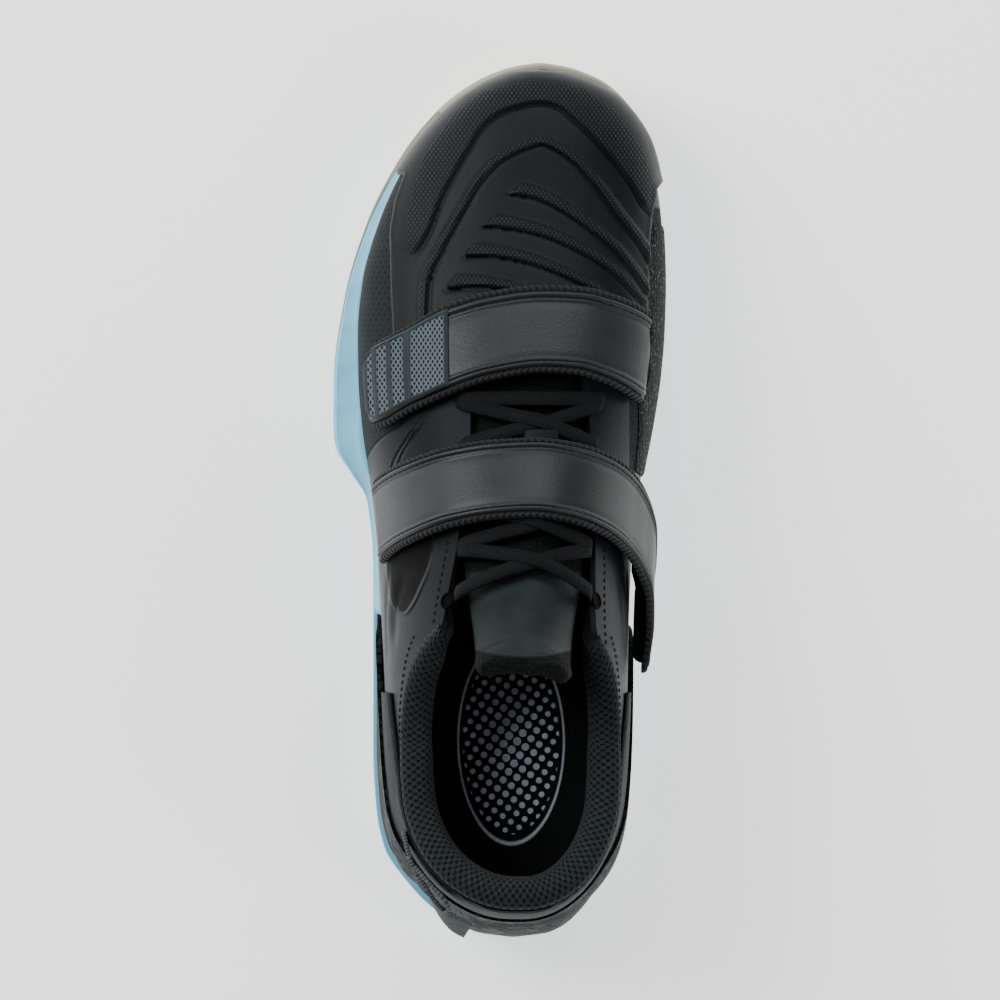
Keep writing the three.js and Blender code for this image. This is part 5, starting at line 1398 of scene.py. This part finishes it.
strap_leather = strap_finish()
add_piece("strap_over_ball", strap_skin(FRONT_STRAP, 150), strap_leather, "strap", "strap_front", sharp=70)
add_piece("strap_over_instep", strap_skin(REAR_STRAP, 190), strap_leather, "strap", "strap_rear", sharp=70)


def patch_rings(rows, low_turn, high_turn, thickness):
    """A patch sewn under a strap, from one turn to another."""
    turn = np.linspace(low_turn, high_turn, 40)
    place, out, half = strap_frame(rows, turn)
    ends = np.sqrt(np.clip(1 - np.linspace(-1, 1, 40) ** 8, 0.02, 1))
    corners = [(-0.70, 0.0), (-0.72, -0.3), (-0.72, -0.7), (-0.70, -1.0), (0.0, -1.0), (0.70, -1.0),
               (0.72, -0.7), (0.72, -0.3), (0.70, 0.0), (0.0, 0.0)]
    return np.stack([last_out(place + across * half, turn, out - 0.0001 + up * thickness * ends) for across,
                     up in corners], 1)


def loop_pile_finish():
    material, tree, shader = new_finish("loop_pile")
    where = place_of(tree)
    pile = noise(tree, where, 0.0006, 3)
    tree.links.new(blend_colours(tree, pile, colour("#050606"), colour("#1b1f20")),
                   shader.inputs["Base Color"])
    shader.inputs["Roughness"].default_value = 0.95
    bump(tree, shader, pile, 0.0005)
    return material


patch_skin = tube(patch_rings(REAR_STRAP, 0.46, 0.612, 0.0036))
add_piece("rear_strap_patch", patch_skin, loop_pile_finish(), "strap", sharp=70)


def stitch_row(target, points, normals, length, gap, width=0.00045):
    """Joins a row of short stitches along a path to a mesh."""
    run = np.concatenate([[0], np.cumsum(np.linalg.norm(np.diff(points, axis=0), axis=1))])
    for start in np.arange(gap, run[-1] - length, length + gap):
        ends = [Vector([np.interp(at, run, points[:, k]) for k in range(3)]) for at in (start,
                                                                                        start + length)]
        normal = Vector([np.interp(start + length / 2, run, normals[:, k]) for k in range(3)]).normalized()
        way = (ends[1] - ends[0]).normalized()
        side = normal.cross(way).normalized()
        frame_turn = Matrix((way * length / 2, side * width / 2, normal * width / 2)).transposed().to_4x4()
        matrix = Matrix.Translation((ends[0] + ends[1]) / 2) @ frame_turn
        bmesh.ops.create_uvsphere(target, u_segments=6, v_segments=5, radius=1.0, matrix=matrix)


def thread_finish(name, code):
    material, tree, shader = new_finish(name)
    where = place_of(tree)
    twist = noise(tree, where, 0.0003, 1)
    tree.links.new(blend_colours(tree, twist, colour(code, 0.7), colour(code, 1.2)),
                   shader.inputs["Base Color"])
    shader.inputs["Roughness"].default_value = 0.6
    bump(tree, shader, twist, 0.0001)
    return material


stitch_skin = bmesh.new()
for rows in (FRONT_STRAP, REAR_STRAP):
    turn = np.linspace(rows["turn"][0] + 0.012, rows["turn"][-1] - 0.012, 160)
    place, out, half = strap_frame(rows, turn)
    for across in (-0.735, 0.735):
        line = last_out(place + across * half, turn, out + STRAP_THICKNESS * 0.93)
        stitch_row(stitch_skin, line, last_normal(place + across * half, turn), 0.0021, 0.0009)
thread = thread_finish("black_thread", "#23282a")
add_piece("strap_stitches", stitch_skin, thread, "strap", sharp=80)

# Strap tab.
# A grey moulded rubber pull on the front strap's free end: panels with a raised crosshatch between
# smooth bars, inside a raised rim, sewn on all round.
TAB_FROM, TAB_TO, TAB_WIDTH, TAB_THICKNESS = -0.440, -0.176, 0.86, 0.0012


def tab_finish():
    material, tree, shader = new_finish("moulded_tab")
    where = place_of(tree)
    cloud = noise(tree, where, 0.01, 2)
    knobs = []
    for angle in (32, -32):
        x = add(tree, "SeparateXYZ",
                {"Vector": place_of(tree, (1, 1, 1), (0, 0, math.radians(angle)))}).outputs["X"]
        bars = maths(tree, "COSINE", maths(tree, "MULTIPLY", x, 2 * math.pi / 0.0013))
        knobs.append(between(tree, bars, 0.15, 0.7))
    knob = maths(tree, "MAXIMUM", *knobs)
    panel = between(tree, attribute(tree, "studded"), 0.0, 0.0004)
    low = maths(tree, "MULTIPLY", panel, maths(tree, "SUBTRACT", 1.0, knob))
    plain = blend_colours(tree, between(tree, cloud, 0.3, 0.7), colour("#3d4649"), colour("#4b5558"))
    stud = blend_colours(tree, knob, colour("#171c1e"), colour("#7b888d"))
    tree.links.new(blend_colours(tree, panel, plain, stud), shader.inputs["Base Color"])
    shader.inputs["Roughness"].default_value = 0.46
    bump(tree, shader, maths(tree, "SUBTRACT", 1.0, low), 0.0004)
    return material


TAB_PANELS = table("start end", [(0.07, 0.16), (0.22, 0.36), (0.42, 0.57), (0.64, 0.97)])
tab_skin = flat_sheet((TAB_FROM, TAB_TO), (-1, 1), 170, 90)
turn, across = flat_coords(tab_skin)
place, out, half = strap_frame(FRONT_STRAP, turn)
at = (turn - TAB_FROM) / (TAB_TO - TAB_FROM)
corner = 1 - 0.55 * (1 - np.sqrt(np.clip(1 - (1 - np.clip(at / 0.2, 0, 1)) ** 2, 0, 1)))
rim = np.minimum(1 - np.abs(across), np.minimum(at, 1 - at) * 2.0)
lift = TAB_THICKNESS * (0.45 + 0.55 * ramp(rim, 0.0, 0.06))
studded = np.full(len(at), -0.004)
for start, end in zip(TAB_PANELS["start"], TAB_PANELS["end"]):
    inside = np.minimum(np.minimum(at - start, end - at) * 0.030, (0.90 - np.abs(across)) * 0.0129)
    studded = np.maximum(studded, inside)
lift = lift - 0.0004 * ramp(studded, -0.0002, 0.0003)
keep_numbers(tab_skin, "studded", studded)
move_verts(tab_skin, last_out(place + across * half * TAB_WIDTH * corner, turn, out + STRAP_THICKNESS + lift))
thicken(tab_skin, 0.0010)
add_piece("tab_moulding", tab_skin, tab_finish(), "tab", "strap_tab", sharp=60)

# Medial side panel.
# A black knitted panel with a glinting thread on the medial side. It covers the front strap's sewn
# end as a pocket and is sewn down along its inner edge.
PANEL = [(45.6, 10.0), (46.6, 22.0), (46.4, 34.0), (45.9, 48.0), (46.0, 60.0), (47.2, 74.0), (49.6, 86.0),
         (51.6, 93.0),
         (62.0, 95.0), (62.0, 8.0), (50.0, 7.0)]


def knit_finish():
    material, tree, shader = new_finish("glinting_knit")
    where = place_of(tree)
    stitch = add(tree, "TexVoronoi", {"Vector": place_of(tree, (1, 0.6, 0.8)), "Scale": 1 / 0.0010,
                                      "Randomness": 0.5}, feature="F1").outputs["Distance"]
    # the glints are partly the thread's own shine, as lower roughness, and partly painted highlight, as a
    # light grey mixed into the colour
    painted_glint = between(tree, noise(tree, where, 0.0010, 1), 0.62, 0.68)
    tint = blend_colours(tree, between(tree, stitch, 0.15, 0.5), colour("#23282a"), colour("#070809"))
    tint = blend_colours(tree, maths(tree, "MULTIPLY", painted_glint, 0.6), tint, colour("#5f686b"))
    tree.links.new(tint, shader.inputs["Base Color"])
    tree.links.new(between(tree, painted_glint, 0.0, 1.0, 0.7, 0.35), shader.inputs["Roughness"])
    bump(tree, shader, maths(tree, "SUBTRACT", 1.0, stitch), 0.0006)
    return material


panel_skin = flat_sheet((5.0, 14.0), (0.28, 0.98), 150, 120)
place, turn = flat_coords(panel_skin)
spot = last_out(place, turn, 0 * place + GAP)
trim(panel_skin, np.minimum(inside_outline(spot[:, :2], photo_plan(PANEL)), spot[:, 2] - top_at(spot[:, 1])
                            - GAP))
place, turn = flat_coords(panel_skin)
spot = last_out(place, turn, 0 * place + GAP)
centre_y = along_y(column(FRONT_STRAP, "turn", "along", turn))
strap_end = ramp(0.395 - turn, 0.0, 0.025) * (1 - ramp(np.abs(spot[:, 1] - centre_y), 0.0148, 0.0178))
border = inside_outline(spot[:, :2], photo_plan(PANEL))
lift = 0.0006 * ramp(border, -0.0002, 0.0012) + (0.0036 + 0.0004 * np.sin(spot[:, 1] / 0.0021)) * strap_end
move_verts(panel_skin, last_out(place, turn, GAP + lift))
bmesh.ops.remove_doubles(panel_skin, verts=panel_skin.verts, dist=1e-6)
thicken(panel_skin, 0.0006)
add_piece("knit_side_panel", panel_skin, knit_finish(), "upper", sharp=70)

# Tongue keeper and side loop.
# A short webbing bar sewn on the tongue holds the laces, and a small grey loop of webbing sits at the
# rear strap's front edge on the medial side.
KEEPER = {"along": 0.569, "middle": 0.030, "width": 0.013, "length": 0.0040, "height": 0.0026}
turn = KEEPER["middle"] + np.linspace(-1, 1, 24) * 0.052
place = place_along(turn, np.full(24, along_y(KEEPER["along"])))
half = KEEPER["length"] / 2 / row_length_at(place, turn, 0 * turn)
hump = np.sqrt(np.clip(1 - np.linspace(-1, 1, 24) ** 6, 0, 1))
bar_profile = [(-1, 0.0), (-0.9, 0.8), (-0.5, 1.0), (0.5, 1.0), (0.9, 0.8), (1, 0.0), (0.5, -0.4),
               (-0.5, -0.4)]
keeper_rings = [last_out(place + across * half, turn, -0.0022 + (0.0022 + KEEPER["height"]) * hump
                         + 0.0008 * up) for across, up in bar_profile]
keeper_skin = tube(np.stack(keeper_rings, 1))
add_piece("tongue_keeper", keeper_skin, smooth_leather("keeper_webbing", "#1b2022", "#343c3e", 0.6), "lace",
          sharp=70)

ring_place = place_along(np.array([0.432]), np.array([along_y(0.5225)]))
ring_spot = Vector(last_out(ring_place, np.array([0.432]), np.array([0.0022]))[0])
ring_normal = Vector(last_normal(ring_place, np.array([0.432]))[0])
loop_ring = bmesh.new()
bmesh.ops.create_circle(loop_ring, segments=10, radius=0.0006,
                        matrix=Matrix.Translation((0.0019, 0, 0)) @ Matrix.Rotation(math.pi / 2, 4, "X"))
bmesh.ops.spin(loop_ring, geom=loop_ring.verts[:] + loop_ring.edges[:], cent=(0, 0, 0), axis=(0, 0, 1),
               angle=2 * math.pi, steps=24, use_merge=True)
bmesh.ops.recalc_face_normals(loop_ring, faces=loop_ring.faces[:])
bmesh.ops.transform(loop_ring, matrix=Matrix.Translation(ring_spot) @ ring_normal.to_track_quat("Z",
    "Y").to_matrix().to_4x4() @ Matrix.Diagonal((1.0, 1.5, 1.0, 1.0)),
                    verts=loop_ring.verts)
add_piece("side_loop", loop_ring, smooth_leather("side_loop_webbing", "#7c878c", "#98a3a8", 0.6), "webbing",
          sharp=70)

# Seams of the quarters.
# Rows of fine black stitches run under the padded collar and along both edges of the throat.
quarter_stitches = bmesh.new()
around = np.linspace(-0.80, 0.80, 500)
place = topline_place(around) - 0.0056 / 0.0052
line = heel_out(place, around, 0 * around + 0.00015)
keep = (opening_at(line) < -0.0025) & (line[:, 1] < along_y(0.352))
place, around, line = place[keep], around[keep], line[keep]
normals = last_normal(place, np.where(around < 0, np.abs(around) - 1, 1 - np.abs(around)))
stitch_row(quarter_stitches, line, normals, 0.0016, 0.0008)
for sign, name in ((-1, "lateral"), (1, "medial")):
    rows_up = np.linspace(12.2, 20.0, 160)

    def before_edge(p, t, sign=sign, name=name):
        point = last_point(p, t)
        return sign * (across_x(column(THROAT, "along", name, share_of(point[:, 1]))) - point[:, 0]) + 0.0032

    turn = solve_turn(rows_up, sign * 0.6, before_edge)
    line = last_out(rows_up, turn, 0 * rows_up + 0.00015)
    keep = opening_at(line) < -0.0025
    stitch_row(quarter_stitches, line[keep], last_normal(rows_up[keep], turn[keep]), 0.0018, 0.0009)
add_piece("quarter_stitches", quarter_stitches, thread, "upper", sharp=80)

# Pull loop.
# Grey ribbed webbing on edge at the lateral side of the heel: sewn to the quarter in front, it opens
# into a loop and is sewn down again behind.
WEBBING_WIDTH = 0.011
WEBBING_THICKNESS = 0.0015
LOOP_OUTER = table("along across up", [
    (0.128, -0.298, 0.560), (0.098, -0.280, 0.580), (0.066, -0.234, 0.570), (0.040, -0.190, 0.520),
                                       (0.024, -0.146, 0.430),
    (0.015, -0.104, 0.330)])
LOOP_INNER = table("along across up", [
    (0.090, -0.268, 0.600), (0.070, -0.222, 0.640), (0.052, -0.178, 0.640), (0.040, -0.166, 0.580),
                                       (0.036, -0.182, 0.520)])


def webbing_finish():
    material, tree, shader = new_finish("grey_webbing")
    where = place_of(tree)
    lay = attribute(tree, "lay")
    rib = maths(tree, "SINE", maths(tree, "MULTIPLY", lay, 2 * math.pi / 0.0011))
    rib = between(tree, rib, -1.0, 1.0)
    fuzz = noise(tree, where, 0.0004, 2)
    tree.links.new(blend_colours(tree, rib, colour("#565c5f"), colour("#82888b")),
                   shader.inputs["Base Color"])
    shader.inputs["Roughness"].default_value = 0.8
    under = bump(tree, shader, fuzz, 0.0001)
    bump(tree, shader, rib, 0.00018, under=under)
    return material


def webbing(rows, lean, steps=70):
    """A webbing on edge through a table's points, leaning out by an angle at its rear end."""
    points = np.stack([across_x(rows["across"]), along_y(rows["along"]), topline_z(rows["up"])], -1)
    points = soft_path(points, 14)
    for _ in range(8):
        points[1:-1] = (points[:-2] + 2 * points[1:-1] + points[2:]) / 4
    pick = np.linspace(0, len(points) - 1, min(steps, len(points))).astype(int)
    points = points[pick]
    way = np.gradient(points, axis=0)
    side = np.stack([way[:, 1], -way[:, 0], 0 * way[:, 0]], -1)
    side /= np.linalg.norm(side, axis=1, keepdims=True)
    angle = lean * ramp(np.linspace(0, 1, len(points)), 0.45, 0.95)[:, None]
    upward = np.array([0, 0, 1.0])
    hand = np.sign((side[:, 1] + side[:, 0]).mean())
    rise = upward * np.cos(angle) + hand * side * np.sin(angle)
    flat = side * np.cos(angle) - hand * upward * np.sin(angle)
    corners = [(-1, -0.96), (-0.8, -1), (0.8, -1), (1, -0.96), (1, 0), (1, 0.96), (0.8, 1), (-0.8, 1),
               (-1, 0.96), (-1, 0)]
    rings = [points + flat * s * WEBBING_THICKNESS / 2 + rise * r * WEBBING_WIDTH / 2 for s, r in corners]
    skin = tube(np.stack(rings, 1))
    run = np.concatenate([[0], np.cumsum(np.linalg.norm(np.diff(points, axis=0), axis=1))])
    spots = np.array([vert.co for vert in skin.verts])
    near = np.argmin(np.linalg.norm(spots[:, None] - points[None], axis=2), axis=1)
    keep_numbers(skin, "lay", run[near])
    return skin


loop_skin = webbing(LOOP_OUTER, math.radians(28))
take(loop_skin, webbing(LOOP_INNER, 0.0))
add_piece("heel_loop", loop_skin, webbing_finish(), "webbing", "pull_loop", sharp=60)

# Stage.
# A plain pale floor under soft studio light from the upper left, and the camera over the shoe.
PHOTO_SCALE = 2.93
CAMERA_REACH = 3.2
CAMERA_TILT = math.radians(1.5)
floor_skin = bmesh.new()
bmesh.ops.create_grid(floor_skin, x_segments=1, y_segments=1, size=4)
floor_mesh = bpy.data.meshes.new("floor")
floor_skin.to_mesh(floor_mesh)
floor_skin.free()
floor = bpy.data.objects.new("floor", floor_mesh)
bpy.context.scene.collection.objects.link(floor)
floor_material, floor_tree, floor_shader = new_finish("pale_floor")
floor_shader.inputs["Base Color"].default_value = (0.9, 0.9, 0.9, 1)
floor_shader.inputs["Emission Color"].default_value = (1, 1, 1, 1)
floor_shader.inputs["Emission Strength"].default_value = 1.0
floor_shader.inputs["Roughness"].default_value = 0.9
floor_mesh.materials.append(floor_material)
floor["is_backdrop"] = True


def soft_light(name, place, aim, size, power, tint=(1, 1, 1)):
    lamp = bpy.data.lights.new(name, "AREA")
    lamp.shape = "RECTANGLE"
    lamp.size, lamp.size_y = size
    lamp.energy = power
    lamp.color = tint
    holder = bpy.data.objects.new(name, lamp)
    holder.location = place
    holder.rotation_euler = (Vector(aim) - Vector(place)).to_track_quat("-Z", "Y").to_euler()
    bpy.context.scene.collection.objects.link(holder)
    return holder


soft_light("key_light", (-1.2, 0.7, 1.2), (0, 0, 0.05), (1.0, 1.4), 38)
soft_light("front_light", (0.3, 1.5, 1.3), (0, 0, 0.05), (1.4, 0.7), 17)
soft_light("side_light", (1.3, -0.6, 0.9), (0, 0, 0.05), (0.6, 1.2), 10)
world = bpy.data.worlds.new("pale_room")
world.use_nodes = True
world.node_tree.nodes["Background"].inputs["Color"].default_value = (1, 1, 1, 1)
world.node_tree.nodes["Background"].inputs["Strength"].default_value = 0.25
bpy.context.scene.world = world
camera_data = bpy.data.cameras.new("camera")
camera_data.lens = 36 * CAMERA_REACH / (1 / PHOTO_SCALE)
camera_data.sensor_width = 36
camera_data.clip_end = 20
camera = bpy.data.objects.new("camera", camera_data)
aim = Vector((0, 0, 0.03))
camera.location = aim + CAMERA_REACH * Vector((-math.sin(CAMERA_TILT), 0, math.cos(CAMERA_TILT)))
camera.rotation_euler = (0, -CAMERA_TILT, 0)
bpy.context.scene.collection.objects.link(camera)
bpy.context.scene.camera = camera

low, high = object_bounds()
